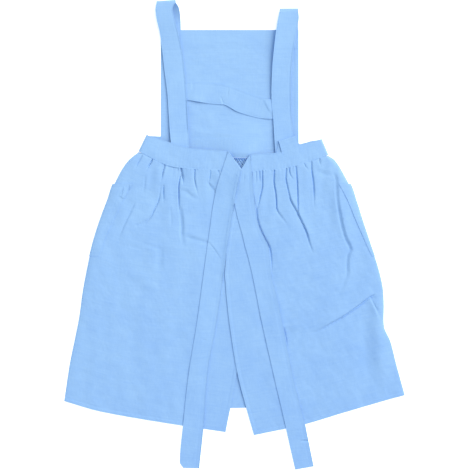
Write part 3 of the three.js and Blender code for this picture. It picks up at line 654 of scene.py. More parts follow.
UNDER_BAND = {"share": (0.003, 0.0095), "sunk": 0.6}
GATHER = {"pitch": 11.5, "sharp": 0.3, "lean": 0.12, "rise": 0.5, "deep": 1.3, "length": 9, "spread": 6}
SLACK = {"high": 1.3, "length": 40, "drawn": 0.2, "run": 100, "full": (0, 25)}
FLUTE = {"high": 0.8, "length": 105, "drawn": 0.45, "grow": (10, 120), "lost": 0.8}
PANEL_RUMPLES = [Rumple(0.35, 38, 1), Rumple(0.12, 17, 2)]
DIP_GROWS = (5, 60)
CORNER_REACH = 12
BACK_COLUMNS = 232
BACK_ROWS = 198
TUCK_ROWS = {"at": 0.57, "half": 0.07, "extra": 1.0}
HEM_ROWS = {"at": 0.986, "half": 0.012, "extra": 2.0}
SEAM_ROWS = {"half": 0.006, "extra": 8.0}
HEM_WIDTH = 10.0
HEM_LAYER = 0.4
HEM_SLOPE = 1.5
HEM_GROOVE = {"deep": 0.5, "half": 1.8, "inside": 1.0}
PANEL_SEAMS = {"gauge": 40, "side": 3, "top": 6, "foot": 2}
PANEL_LENGTH = 640
CREASE_REACH = 60
CREASE_RUN = {"start": (0, 0.06), "low": 0.6, "grown": 0.4, "grow": (0.06, 0.35),
              "lost": 0.75, "fade": (0.6, 0.95), "end": (0.9, 1)}
Crease = namedtuple("Crease", "points lip rise sink reach dip cut half")
LEFT_CREASES = [
    Crease([(-229, 201), (-240, 180), (-248, 166)], 1, -0.5, 0.5, 4, 4, 3.0, 1.5),
    Crease([(-203, 193), (-210, 178), (-219, 164)], 1, -0.5, 0.8, 4, 8, 5.0, 1.6),
    Crease([(-170, 190), (-174, 172), (-179, 152), (-182, 134)], 1, 0.8, 1.8, 8, 9, 4.6, 1.6),
    Crease([(-250, 22), (-232, 28), (-221, 33), (-208, 47), (-199, 66), (-189, 87.5), (-183, 130)],
           -1, -0.4, 0.8, 6, 7, 3.2, 1.8),
    Crease([(-177, 126), (-177.5, 106), (-176.5, 82)], 1, -0.6, 0.8, 5, 6, 3.2, 1.8),
    Crease([(-133, 180), (-132.5, 160), (-129, 140), (-127, 126)], 1, -2.0, 2.0, 11, 11, 6.4, 1.9),
    Crease([(-135, 152), (-139, 124), (-139, 94), (-138.5, 72), (-137.5, 58)], -1, 0.3, 0.8, 8, 14, 6.4, 1.6),
    Crease([(-137, 72), (-133, 50), (-131, 25), (-131, 0), (-126, -30)], 1, 1.2, 0.5, 20, 14, 2.4, 5.0),
    Crease([(-97, 174), (-100, 150), (-98, 128), (-90, 98)], -1, -0.2, 0.6, 5, 12, 4.6, 1.6),
    Crease([(-60, 170), (-61, 150), (-64, 124)], 1, -0.3, 0.5, 4, 5, 2.0, 1.5),
    Crease([(-44, 106), (-58, 121), (-73, 139)], -1, 0.4, 1.0, 8, 9, 2.8, 1.6),
    Crease([(-42, 170), (-38, 146)], -1, 0.3, 0.6, 5, 5, 2.4, 1.4),
    Crease([(-160, 70), (-158, 40), (-158, 10)], 1, -0.3, 0.4, 7, 8, 0.7, 2.5),
    Crease([(-247, 82), (-264, 46), (-277, 18), (-291, -14)], 1, 0.8, 1.2, 14, 12, 1.2, 2.6),
    Crease([(-222, 150), (-223, 128), (-226, 104)], 1, 0.4, 0.8, 12, 12, 1.0, 3.0),
    Crease([(-194, 170), (-203, 130), (-214, 92)], 1, 2.4, 1.0, 20, 16, 0.0, 13.0),
    Crease([(-174, 174), (-164, 172), (-153, 170), (-143, 166), (-134, 157)], 1, 0.6, 2.0, 6, 18, 1.8, 2.0),
    Crease([(-137, 112), (-121, 108), (-105, 96), (-84, 88)], 1, 0.4, 0.6, 10, 10, 1.5, 4.0),
    Crease([(-62, -18.5), (-80, -15), (-100, -10), (-128, -3)], -1, 0.7, 0.7, 14, 9, 2.2, 4.0),
    Crease([(-230, -24), (-205, -30), (-178, -39)], -1, 0.5, 0.5, 10, 9, 1.1, 3.0),
    Crease([(-264, -28), (-248, -32), (-232, -36)], -1, 0.4, 0.4, 8, 8, 0.8, 2.6),
    Crease([(-268, -92), (-236, -124), (-214, -142), (-190, -150)], 1, 0.9, 0.9, 24, 18, 0.0, 20.0),
    Crease([(-184, -28), (-187, -60), (-190, -96)], 1, -0.4, 0.4, 12, 12, 1.2, 8.0),
    Crease([(-306, -80), (-300, -150), (-306, -220)], -1, 0.9, 0.8, 30, 26, 0.0, 20.0),
]
RIGHT_CREASES = [
    Crease([(43, 166), (42.5, 142), (42.5, 120)], 1, -0.2, 0.4, 4, 4, 2.6, 1.3),
    Crease([(53.5, 166), (54, 146), (54.5, 126)], 1, -0.2, 0.3, 4, 4, 1.6, 1.3),
    Crease([(62, 168), (62.5, 150), (63, 130)], 1, -0.2, 0.4, 4, 4, 3.0, 1.3),
    Crease([(69.5, 174), (69.5, 138), (69.5, 120), (64, 95), (60, 78), (55, 60)],
           1, 0.3, 0.6, 6, 9, 4.6, 1.6),
    Crease([(46, 98), (48.5, 84), (50, 68)], 1, -0.2, 0.6, 4, 6, 3.2, 1.4),
    Crease([(53, 74), (58, 34), (70, 0), (87, -32), (91, -58), (93, -96)], 1, -0.8, 1.0, 8, 6, 4.4, 2.2),
    Crease([(100, 180), (98.5, 130), (102, 109), (104.5, 84), (105.5, 64), (117, 45), (135, 22)],
           1, -0.2, 0.4, 5, 7, 6.2, 1.6),
    Crease([(130, 174), (128, 141), (132, 120), (141, 84), (153, 62)], 1, 0.6, 0.6, 10, 10, 3.8, 1.7),
    Crease([(137, 96), (141, 84), (155.5, 58), (169.5, 29), (180.5, 4), (187.5, -21), (196, -46)],
           1, 2.4, 0.5, 17, 12, 5.6, 1.9),
    Crease([(134, 178), (139, 150), (149, 137)], 1, -0.2, 0.4, 4, 4, 3.2, 1.3),
    Crease([(151, 184), (155, 152), (157, 120), (158, 91), (158.5, 50), (159, 30)],
           1, 0.3, 0.8, 5, 8, 5.0, 1.6),
    Crease([(191, 196), (192.5, 159), (196, 137), (198, 109), (198, 70)], 1, 0.5, 0.6, 10, 8, 4.2, 1.9),
    Crease([(172, 188), (176, 172), (186, 162)], 1, -0.2, 0.3, 4, 4, 1.8, 1.4),
    Crease([(212, 200), (212.5, 172)], 1, -0.2, 0.4, 4, 4, 2.8, 1.4),
    Crease([(249, 160), (253.5, 141), (256.5, 91), (262, 55), (271, 12), (282, -19), (291, -34), (283, -52),
            (281.5, -75), (282, -100), (274, -118), (262, -154)], 1, 2.6, 0.8, 24, 26, 2.4, 4.4),
    Crease([(202, 160), (228, 153), (258, 150)], 1, 0.5, 0.9, 10, 12, 1.5, 6.0),
    Crease([(232, 158), (238, 100), (246, 50), (258, 10), (270, -20)], 1, 3.0, 1.2, 42, 24, 0.0, 20.0),
    Crease([(352, -146), (340, -154), (330, -161), (320, -169), (300, -184.5), (280, -198), (260, -211),
            (240, -222), (220, -234), (186, -247)], -1, 3.2, 1.0, 24, 40, 5.2, 2.3),
    Crease([(338, -152), (345, -168), (353, -184), (362, -203), (372, -224)], -1, 1.2, 0.6, 9, 7, 2.2, 1.9),
    Crease([(122, -230), (126, -248), (131, -276)], -1, 0.4, 1.4, 8, 20, 3.2, 1.8),
    Crease([(128, -226), (150, -232), (176, -230)], 1, 0.6, 1.0, 10, 20, 0.0, 20.0),
    Crease([(340, -158), (346, -260), (364, -392)], 1, 5.6, 3.2, 26, 36, 0.0, 26.0),
    Crease([(204, -262), (218, -310), (240, -356)], -1, 0.9, 0.9, 22, 20, 0.0, 20.0),
    Crease([(60, -282), (76, -350), (104, -420)], 1, 0.7, 0.6, 22, 20, 0.0, 20.0),
]


def beside(x, y, line):
    """Signed distance from a line of points, positive to the left of its run, and the share along it."""
    start, run = line[:-1], np.diff(line, axis=0)
    long = np.linalg.norm(run, axis=1)
    px, py = x[..., None] - start[:, 0], y[..., None] - start[:, 1]
    share = np.clip((px * run[:, 0] + py * run[:, 1]) / long ** 2, 0, 1)
    gap = np.hypot(px - share * run[:, 0], py - share * run[:, 1])
    nearest = gap.argmin(axis=-1)[..., None]
    turned = np.sign(run[:, 0] * py - run[:, 1] * px)
    travelled = np.concatenate([[0], np.cumsum(long)[:-1]]) + share * long
    pick = lambda grid: np.take_along_axis(grid, nearest, axis=-1)[..., 0]
    return pick(gap) * pick(turned), pick(travelled) / long.sum()


def crease_line(crease):
    """Smooth line through a crease's few points."""
    points = np.array(crease.points, float)
    at = np.concatenate([[0], np.cumsum(np.linalg.norm(np.diff(points, axis=0), axis=1))])
    return smooth(at, points, np.linspace(0, at[-1], 25))


def creased(x, y, creases):
    """Height of pressed-over folds: a lip along a line, the hollow beside it and the cut between them."""
    height = np.zeros_like(x)
    for crease in creases:
        line = crease_line(crease)
        low, high = line.min(axis=0) - CREASE_REACH, line.max(axis=0) + CREASE_REACH
        near = (x > low[0]) & (x < high[0]) & (y > low[1]) & (y < high[1])
        if not near.any():
            continue
        off, along = beside(x[near], y[near], line)
        off = off * crease.lip
        grown = CREASE_RUN["low"] + CREASE_RUN["grown"] * step_between(along, *CREASE_RUN["grow"])
        faded = 1 - CREASE_RUN["lost"] * step_between(along, *CREASE_RUN["fade"])
        strong = step_between(along, *CREASE_RUN["start"]) * grown
        strong *= faded * (1 - step_between(along, *CREASE_RUN["end"]))
        lip = crease.rise * bell(np.maximum(off, 0), crease.reach)
        hollow = -crease.sink * bell(np.minimum(off, 0), crease.dip)
        edge = step_between(off, -crease.half, crease.half)
        groove = crease.cut * np.exp(-np.abs(off / crease.half) ** 3)
        height[near] += strong * (hollow + (lip - hollow) * edge - groove)
    return height


back_rest = through(BACK_REST, "y", "z")
opening_sink = through(OPENING_SINK, "y", "drop")


def back_waist(side, rows, opening):
    """Waist edge of a back panel: along the band's lower edge from the side fold to the opening."""
    edge = [(row["by"], row["bx"]) for row in rows if row["z"] == BACK_BAND_Z or row["turn"] == BACK_BAND_Z]
    edge = sorted(edge, key=lambda point: abs(point[1] - side["x"][0]))
    inner = [point for point in edge if abs(point[1] - side["x"][0]) > CORNER_REACH]
    return np.array([tuple(side[0]), *inner, tuple(opening[0])], dtype=EDGE)


Back = namedtuple("Back", "inward outline opening waist hem creases dip overlap flutes gathers")
LEFT_WAIST = back_waist(LEFT_OUTLINE, BAND_ROWS[BAND_ROWS["bx"] < 0], LEFT_OPENING)
RIGHT_WAIST = back_waist(RIGHT_OUTLINE, BAND_ROWS[BAND_ROWS["bx"] > 0], RIGHT_OPENING)
BACKS = {
    "left": Back(1, LEFT_OUTLINE, LEFT_OPENING, LEFT_WAIST, LEFT_HEM, LEFT_CREASES,
                 dip=(55, 115), overlap=OVERLAP_DROP, flutes=21, gathers=1.0),
    "right": Back(-1, RIGHT_OUTLINE, RIGHT_OPENING, RIGHT_WAIST, RIGHT_HEM, RIGHT_CREASES,
                  dip=(30, 95), overlap=0, flutes=31, gathers=2.3),
}


def gathered(x, drop, seed):
    """Small gathers under the band: rounded tucks of uneven width that fade down the skirt."""
    lean = x + GATHER["lean"] * drop * np.sin(x / 29 + seed)
    uneven = lean + 4 * np.sin(lean / 13 + seed) + 1.8 * np.sin(lean / 5.3 + 2 * seed)
    valley = bell(np.sin(math.pi * uneven / GATHER["pitch"]), GATHER["sharp"])
    depth = 0.9 + 0.6 * np.sin(lean / 9.1 + 5 * seed) + 0.4 * np.sin(lean / 23 + seed)
    length = GATHER["length"] + GATHER["spread"] * np.sin(x / 19 + 3 * seed)
    fade = np.exp(-np.maximum(drop, 0) / length)
    waves = rumple(x, SLACK["drawn"] * drop, SLACK["length"], round(10 * seed))
    waves = waves * np.exp(-np.maximum(drop, 0) / SLACK["run"])
    tucks = GATHER["rise"] * fade - GATHER["deep"] * depth * valley * fade
    return tucks + SLACK["high"] * waves * step_between(drop, *SLACK["full"])


def lie_of(back):
    """Function for the height of a back panel away from its side fold."""
    opening = through(back.opening, "y", "x")
    waist = through(back.waist, "x", "y")

    def laid(x, y):
        drop = waist(x) - y
        share = 1 - step_between(back.inward * (opening(y) - x), *back.dip)
        dip = share * (opening_sink(y) + back.overlap) * step_between(drop, *DIP_GROWS)
        flutes = FLUTE["high"] * rumple(x, y * FLUTE["drawn"], FLUTE["length"], back.flutes)
        for wave in PANEL_RUMPLES:
            flutes = flutes + wave.high * rumple(x, y, wave.length, back.flutes + wave.seed)
        flutes = flutes * step_between(drop, *FLUTE["grow"]) * (1 - FLUTE["lost"] * share)
        return back_rest(y) - dip + creased(x, y, back.creases) + gathered(x, drop, back.gathers) + flutes

    return laid


back_lie = {side: lie_of(back) for side, back in BACKS.items()}


def roll_inset(angles):
    """Distance in from the side fold at the given angles round its roll."""
    reach = np.where(angles > 0, ROLL["over"], ROLL["under"])
    return reach * (1 - np.cos(angles))


def panel_rows():
    """Shares from waist to hem of a panel's rows, closer together at the waist seam, tuck and hem."""
    share = np.linspace(0, 1, 4001)
    crowd = 1 + SEAM_ROWS["extra"] * np.exp(-share / SEAM_ROWS["half"])
    for rows in (TUCK_ROWS, HEM_ROWS):
        crowd += rows["extra"] * bell(share - rows["at"], rows["half"])
    count = np.cumsum(crowd) - crowd[0]
    return np.interp(np.linspace(0, count[-1], BACK_ROWS + 1), count, share)


def back_panel(back, laid):
    """Back panel: under the side fold, round it, then across to its opening edge."""
    rolled = np.linspace(-math.pi / 2, math.pi / 2, ROLL["columns"] + 1)
    angles = np.concatenate([rolled, np.full(BACK_COLUMNS, math.pi / 2)])
    across = np.concatenate([np.zeros(ROLL["columns"] + 1), np.linspace(0, 1, BACK_COLUMNS + 1)[1:]])
    across, t = np.meshgrid(across, panel_rows())
    side, edge = side_curve(back.outline), side_curve(back.opening)
    width = np.linalg.norm(edge(t) - side(t), axis=-1)
    inset = roll_inset(angles)[None, :] + across * (width - ROLL["over"])
    plan = patch(side, edge, edge_curve(back.waist), edge_curve(back.hem), inset / width, t)
    tuck = SEAM_TUCK["deep"] * step_between(inset, *SEAM_TUCK["inset"])
    tuck = tuck * (angles > 0)[None, :] * (1 - t) ** SEAM_TUCK["fade"]
    x, y = plan[..., 0], plan[..., 1] + tuck
    foot = front_height(x, y)
    under = 1 - step_between(t, *UNDER_BAND["share"])
    tucked = BACK_BAND_Z - BAND_THICK / 2 - SKIRT_THICK * UNDER_BAND["sunk"]
    top = laid(x, y) * (1 - under) + tucked * under
    from_hem = np.minimum((1 - t) * PANEL_LENGTH, (1 - across) * (width - ROLL["over"]))
    turned = HEM_LAYER * (1 - step_between(from_hem, HEM_WIDTH - HEM_SLOPE, HEM_WIDTH + HEM_SLOPE))
    to_seam = from_hem - HEM_WIDTH + HEM_GROOVE["inside"]
    stitched = -HEM_GROOVE["deep"] * bell(to_seam, HEM_GROOVE["half"])
    top = np.maximum(top + turned + stitched, foot + SKIRT_THICK + LAYER_GAP)
    z = foot + (top - foot) * (1 + np.sin(angles))[None, :] / 2
    return np.dstack([x, y, z])


def panel_hems(points):
    """Stitch lines along a back panel's hem and opening edge."""
    length = np.linalg.norm(np.diff(points[:, -PANEL_SEAMS["gauge"]], axis=0), axis=1)
    seam_in = HEM_WIDTH - HEM_GROOVE["inside"]
    hem_row = BACK_ROWS - seam_in / length[-1]
    across = np.arange(ROLL["columns"] + 1, points.shape[1] - PANEL_SEAMS["side"])
    hem = seam_on(points, across, hem_row, SKIRT_THICK / 2)
    down = np.arange(PANEL_SEAMS["top"], BACK_ROWS - PANEL_SEAMS["foot"])
    step = np.linalg.norm(points[down, -1] - points[down, -2], axis=1)
    edge = seam_on(points, points.shape[1] - 1 - seam_in / step, down, SKIRT_THICK / 2)
    return [hem, edge]


lies_on = ["skirt_front_cloth"]
for side, back in BACKS.items():
    panel = back_panel(back, back_lie[side])
    lay_cloth(f"skirt_back_{side}", panel, SKIRT_THICK, panel_hems(panel))
    lies_on = lies_on + [f"skirt_back_{side}_cloth"]

# Pockets: two patches of the linen sewn on the outside of the skirt, open at their mouths. Each lies under
# the skirt front, goes round the side fold, and ends in a narrow strip on the back.
POCKET_THICK = 0.8
POCKET_WRAP = {"left": (45.0, 23.0), "right": (25.5, 8.0)}
POCKET_SEAM = {"edge": 1.8, "bar": 8.0, "bar_rows": 18}
POCKET_CLEAR = 1.2
POCKET_EDGE = {"thin": 0.35, "from": 0.94}
POCKET_ROWS = 110
POCKET_COLUMNS = {"under": 23, "over": 20}
POCKET_TACKS = [
    Crease([(-261, 127), (-263, 112), (-266, 95)], 1, 1.6, 0.0, 8, 4, 0.5, 1.5),
    Crease([(-276, 121), (-279, 108), (-283, 93)], 1, 1.6, 0.0, 8, 4, 0.5, 1.5),
    Crease([(-288, 98), (-275, 90), (-262, 98)], 1, 1.4, 0.0, 6, 4, 0.5, 1.5),
]


def pocket(laid, outline, inward, wrap):
    """Patch pocket: flat under the front, round the side fold, then on the back as far as its wrap."""
    down = np.linspace(0, 1, POCKET_ROWS + 1)[:, None]
    reach = wrap[0] + (wrap[1] - wrap[0]) * down
    last = np.arccos(np.clip(1 - (reach - 2) / ROLL["over"], 0, 1))
    under = np.linspace(POCKET["under"], ROLL["under"], POCKET_COLUMNS["under"] + 1)[None, :-1] + 0 * down
    roll = (last + math.pi / 2) * np.linspace(0, 1, ROLL["columns"] + 1)[None, :] - math.pi / 2
    over = np.linspace(0, 1, POCKET_COLUMNS["over"] + 1)[None, 1:]
    angles = np.hstack([0 * under - math.pi / 2, roll, last + 0 * over])
    inset = np.hstack([under, roll_inset(roll), roll_inset(last) + over * (reach - roll_inset(last))])
    y = POCKET["mouth"] + (POCKET["bottom"] - POCKET["mouth"]) * down + 0 * inset
    x = outline(y) + inward * inset
    foot = front_height(x, y)
    z = foot + (laid(x, y) - foot) * (1 + np.sin(angles)) / 2
    proud = POCKET["proud"] * step_between(y, POCKET["mouth"] - POCKET["drop"], POCKET["mouth"])
    x = x - inward * np.cos(angles) * (POCKET_CLEAR + proud)
    thin = POCKET_EDGE["thin"] * step_between(down, POCKET_EDGE["from"], 1) * (angles > 0)
    z = z + np.sin(angles) * (POCKET_CLEAR - thin)
    z = z + creased(x, y, POCKET_TACKS) * (angles > 0)
    return np.dstack([x, y, np.maximum(z, POCKET_THICK / 2 + TABLE_GAP)])


def pocket_seams(points):
    """Stitching down the pocket's edge on the back, and the bar that holds its mouth corner."""
    last = points.shape[1] - 1
    outer, inner, low = last - POCKET_SEAM["edge"], last - POCKET_SEAM["bar"], POCKET_SEAM["bar_rows"]
    edge = seam_on(points, outer, np.arange(1, POCKET_ROWS), POCKET_THICK / 2)
    bar = seam_on(points, inner, np.arange(2, low), POCKET_THICK / 2)
    across = seam_on(points, np.linspace(inner, outer, 8), low, POCKET_THICK / 2)
    return [edge, bar, across]


for side, back in BACKS.items():
    patch_pocket = pocket(back_lie[side], through(back.outline, "y", "x"), back.inward, POCKET_WRAP[side])
    lay_cloth(f"pocket_{side}", patch_pocket, POCKET_THICK,
              pocket_seams(patch_pocket))

# Cross strap: a doubled strip of the linen across the back that keeps the shoulder straps in place. It lies
# on the bib and passes under both shoulder straps; its right end is turned under in a small corner.
STRAP_THICK = 1.1
STRAP_COLUMNS = 26
STRAP_GROOVE = 0.28
STRAP_SEAM = 0.066
STRAP_RUMPLE = 55
Rise = namedtuple("Rise", "middle half high")
CROSS_Z = 1.9
CROSS_STEP = 1.6
CROSS_RAISED = [Rise(-94, 20, 3.0), Rise(-6, 22, 1.8)]
CROSS_CORNER = Rise(84, 16, 1.0)
CROSS_ROWS = strip_table([
    (-156, 380, -152, 338, CROSS_Z),
    (-124.5, 380, -120, 337.5, CROSS_Z),
    (-93, 380.5, -91.5, 333, CROSS_Z),
    (-62, 379, -63, 328.5, CROSS_Z),
    (-36, 376, -41.5, 326.8, CROSS_Z),
    (-16, 372, -23.75, 325, CROSS_Z),
    (-2, 367, -12, 319, CROSS_Z),
    (14, 361, 1.5, 311, CROSS_Z),
    (28, 355, 15.5, 305, CROSS_Z),
    (61, 344, 51, 294.6, CROSS_Z),
    (79, 340, 72.7, 291, CROSS_Z),
    (98, 339, 97.7, 290, CROSS_Z),
    (120, 339, 120, 290, CROSS_Z),
])
CROSS_CREASES = [
    Crease([(-107, 382), (-106, 370), (-118, 344)], -1, 0.4, 0.2, 7, 7, 0.3, 1.6),
    Crease([(-27, 325), (-31, 336), (-36, 346)], 1, 0.5, 0.3, 8, 6, 1.3, 1.8),
    Crease([(-14, 368), (-16, 354), (-18, 346)], 1, 0.4, 0.3, 8, 8, 0.7, 1.6),
    Crease([(72, 338), (80, 322), (86, 311), (97, 300)], 1, 1.5, 0.0, 20, 7, 0.2, 1.6),
]


def doubled_strip(sections, seed, uneven=0.175):
    """Doubled strip: flat between its topstitched edges, a little uneven along its run."""
    points = widen(sections, STRAP_COLUMNS)
    groove = sewn_edges(points, STRAP_COLUMNS, STRAP_GROOVE)
    points[..., 2] += raised(groove, points[..., 0], points[..., 1], [Rumple(uneven, STRAP_RUMPLE, seed)])
    return points


def strap_seams(points, skip=2):
    """Stitch lines along both edges of a strap."""
    rows = np.arange(skip, len(points) - skip)
    columns = [STRAP_COLUMNS * share for share in (STRAP_SEAM, 1 - STRAP_SEAM)]
    return [seam_on(points, column, rows, STRAP_THICK / 2) for column in columns]


def hump(x, rise):
    return rise.high * bell(x - rise.middle, rise.half)


cross = doubled_strip(strip(CROSS_ROWS, CROSS_STEP), 41)
toward_lower = np.linspace(0, 1, STRAP_COLUMNS + 1)[None, :] ** 2
bowed = sum(hump(cross[..., 0], rise) for rise in CROSS_RAISED) * toward_lower
corner = hump(cross[..., 0], CROSS_CORNER)
cross[..., 2] += bowed + corner + creased(cross[..., 0], cross[..., 1], CROSS_CREASES)
lay_cloth("cross_strap", cross, STRAP_THICK, strap_seams(cross))

# Shoulder straps: two doubled strips of the linen sewn flat to the bib's facing. Each goes up in a loop and
# down the back over the cross strap; the left one ends under the waistband, and the right one is folded
# under the band's edge and up again, then sewn down on the band.
STRAP_FRONT_Z = 2.0
STRAP_CREST_Z = 15.0
STRAP_STEP = 2.0
STRAP_TURN = {"before": 5, "after": 6}
STRAP_BACK_Z = 5.5
ON_BAND = {"z": (10.5, 11.8), "below": 260}
PLEAT = {"low": 8.1, "middle": 9.8, "high": 13.4, "end": 11.7}
SEWN_AT = {"y": 461.0, "half": 2.2, "deep": 0.4}
LOOP = {"foot": 520.0, "crest": 576.0, "rise": 10.5}
STRAP_END_Z = 1.2
STRAP_LIFT = {"high": 3.4, "foot": 300.0, "full": 470.0}
EDGE_CURL = {"from": 0.955, "high": 0.8, "below_cross": 1.4, "cross": (318, 345)}
CURL_RUN = {"left": ((248, 275), (500, 540)), "right": ((270, 300), (480, 510))}
LEFT_STRAP_ROWS = strip_table([
    (-181, 466, -133, 466, STRAP_END_Z),
    (-181.5, 478, -133.5, 478, STRAP_FRONT_Z),
    (-183, 512, -134, 512, STRAP_FRONT_Z),
    (-185, 540, -135, 540, STRAP_FRONT_Z),
    (-190, 561, -138.5, 565, STRAP_FRONT_Z),
    (-194.5, 576.5, -146.5, 579.5, STRAP_FRONT_Z, STRAP_CREST_Z),
    (-196.8, 563, -154, 564, 14.6),
    (-196, 549, -152, 549, 13.8),
    (-192.5, 530, -147, 528, 12.4),
    (-186.5, 505, -140.5, 503, 9.6),
    (-180, 455, -130.5, 455, 5.8),
    (-175.5, 416, -125.5, 416, 4.3),
    (-168.5, 360, -121, 360, 4.2),
    (-166.5, 337, -119.5, 337, 4.4),
    (-165, 312.5, -118, 312.5, 4.6),
    (-161.5, 260, -115, 258, 7.0),
    (-159, 235, -113.5, 230, 9.6),
    (-157, 216, -112, 206, 9.6),
])
RIGHT_STRAP_ROWS = strip_table([
    (111, 466, 158, 466, STRAP_END_Z),
    (111.3, 478, 158.3, 478, STRAP_FRONT_Z),
    (112, 512, 159, 512, STRAP_FRONT_Z),
    (112.5, 557.9, 158.75, 558.2, STRAP_FRONT_Z, STRAP_CREST_Z),
    (108, 537.5, 160, 537.5, 14),
    (101.8, 495, 152, 495, 11.4),
    (96.5, 448, 145, 448, 8.6),
    (93.4, 405, 141, 405, 6.8),
    (92.25, 339, 140.5, 339, 4.8),
    (96.5, 292, 143, 290, 4.8),
    (98.5, 255, 145, 258, 7),
    (100.5, 225, 148, 234, 8.1),
    (103, 197, 151, 211, PLEAT["low"], PLEAT["middle"]),
    (110.5, 232.5, 154.5, 245.5, PLEAT["middle"], PLEAT["high"]),
    (116, 212, 160, 228.5, 13),
    (119, 200, 163.5, 216, 12.3),
    (122.5, 184, 166.5, 197, 11.8),
    (126, 168, 170, 180, PLEAT["end"]),
])


def sewn_across(points):
    """Groove of the seam under a strap, where its own sewn-down front end stops."""
    on_back = points[..., 2] > STRAP_BACK_Z
    return -SEWN_AT["deep"] * bell(points[..., 1] - SEWN_AT["y"], SEWN_AT["half"]) * on_back


def curl_run(y, side):
    """Share of the curl of a strap's edge, which fades out at both ends of its run on the back."""
    low, high = CURL_RUN[side]
    return step_between(y, *low) * (1 - step_between(y, *high))


left_strap = doubled_strip(strip(LEFT_STRAP_ROWS, STRAP_STEP), 51)
left_strap[..., 2] += sewn_across(left_strap)
crest = left_strap[:, 0, 1].argmax()
in_front = left_strap[:crest - STRAP_TURN["before"]]
rim = LOOP["rise"] * np.linspace(0, 1, STRAP_COLUMNS + 1)[None, :] ** 4
in_front[..., 2] += rim * step_between(in_front[..., 1], LOOP["foot"], LOOP["crest"])
curled = step_between(np.linspace(0, 1, STRAP_COLUMNS + 1), EDGE_CURL["from"], 1)[None, :]
on_back = left_strap[crest + STRAP_TURN["after"]:]
curl = EDGE_CURL["high"] + EDGE_CURL["below_cross"] * (1 - step_between(on_back[..., 1], *EDGE_CURL["cross"]))
on_back[..., 2] += curl * curl_run(on_back[..., 1], "left") * curled
lay_cloth("shoulder_strap_left", left_strap, STRAP_THICK,
          strap_seams(left_strap))

right_strap = doubled_strip(strip(RIGHT_STRAP_ROWS, STRAP_STEP), 52, 0.125)
on_band = step_between(right_strap[..., 2], *ON_BAND["z"]) * (right_strap[..., 1] < ON_BAND["below"])
uneven = band_uneven(right_strap[..., 0], right_strap[..., 1])
right_strap[..., 2] += sewn_across(right_strap) + on_band * uneven
on_back = right_strap[right_strap[:, 0, 1].argmax() + STRAP_TURN["after"]:]
toward_left = np.linspace(1, 0, STRAP_COLUMNS + 1)[None, :] ** 2
lift = step_between(on_back[..., 1], STRAP_LIFT["foot"], STRAP_LIFT["full"])
on_back[..., 2] += STRAP_LIFT["high"] * lift * toward_left
on_back[..., 2] += EDGE_CURL["high"] * curl_run(on_back[..., 1], "right") * curled
lay_cloth("shoulder_strap_right", right_strap, STRAP_THICK,
          strap_seams(right_strap))

# Waist ties: two long doubled strips of the linen sewn to the ends of the waistband. Each folds over on a
# slant at the band's end and lies down the skirt; the left tie crosses over the right one near the waist.
TIE_THICK = 1.0
LAY_GAP = 0.45
TIE_SEAM = 0.82
TIE_GROOVE = {"deep": 0.3, "half": 0.045}
TIE_STEP = {"laid": 1.8, "entry": 3.0}
TIE_SEWN = {"from": 24, "short": 3}
TIE_RUMPLES = [Rumple(0.15, 60, 0), Rumple(0.06, 18, 10)]
DRAPE = {"beside": 4, "along": 5, "passes": 3, "long_blur": 5, "cross_blur": 3, "last_blur": 2}
SKIRT_EDGE = {"opening": 1, "hem": 2}
TIE_NEAR = 40
LEFT_TIE_CREASES = [
    Crease([(-66, -16), (-50, -36), (-32, -64)], 1, 0.6, 0.2, 9, 8, 0.9, 1.8),
    Crease([(-81, -262), (-76, -262), (-69, -262)], 1, 0.1, 0.1, 4, 4, 1.0, 2.2),
]
RIGHT_TIE_CREASES = [
    Crease([(190, -514), (178, -514), (164, -514.5)], -1, 0.3, 0.1, 4, 4, 2.2, 2.0),
    Crease([(24, 154), (25, 144), (23, 132)], 1, 0.4, 0.2, 5, 5, 0.6, 1.5),
    Crease([(33, 156), (36, 146), (36, 134)], -1, 0.4, 0.2, 5, 5, 0.6, 1.5),
]
LEFT_TIE_START = strip_table([(-18.5, 208.4, -18.5, 161, BACK_BAND_Z)])
LEFT_TIE_ROWS = strip_table([
    (-16.25, 206.5, 16.5, 162, 15),
    (-46.75, 107.5, 2, 90, 0),
    (-65.25, -12.5, -14.5, -8.5, 0),
    (-76, -90, -28.25, -105, 0),
    (-93.75, -219.5, -45, -222, 0),
    (-114, -345, -66, -338, 0),
    (-128.25, -472, -77.75, -483.5, 4),
    (-136.5, -567, -87, -570, 1.6),
    (-128, -582, -88.25, -583, 1.4),
])
RIGHT_TIE_START = strip_table([(40.5, 200, 40.5, 157.5, BACK_BAND_Z)])
RIGHT_TIE_ROWS = strip_table([
    (39.25, 199.5, 10, 150, 13.8),
    (48, 100, 0, 90, 0),
    (53.5, 55, 6, 50, 0),
    (58, 30, 12, 28, 0),
    (68, 5, 18.5, 5, 0),
    (84, -28, 27, -30, 0),
    (88, -58, 35, -58, 0),
    (91, -95, 44, -97, 0),
    (104.5, -149, 55, -150, 0),
    (114, -190, 65, -202.5, 0),
    (147, -357.5, 98, -350, 0),
    (176, -472, 126, -470, 4.2),
    (183, -506, 133, -504, 3.2),
    (197.75, -578, 151.75, -586, 1.6),
])


def skirt_top(x, y):
    """Top of the cloth of the skirt's back at a place, or the table beyond the hem."""
    top = np.zeros_like(x)
    for side, back in BACKS.items():
        opening = through(back.opening, "y", "x")
        hem = through(back.hem, "x", "y")
        past = back.inward * (x - opening(y))
        on_it = (past <= SKIRT_EDGE["opening"]) & (y > hem(x) - SKIRT_EDGE["hem"])
        top = np.maximum(top, np.where(on_it, back_lie[side](x, y) + SKIRT_THICK / 2, 0))
    return top


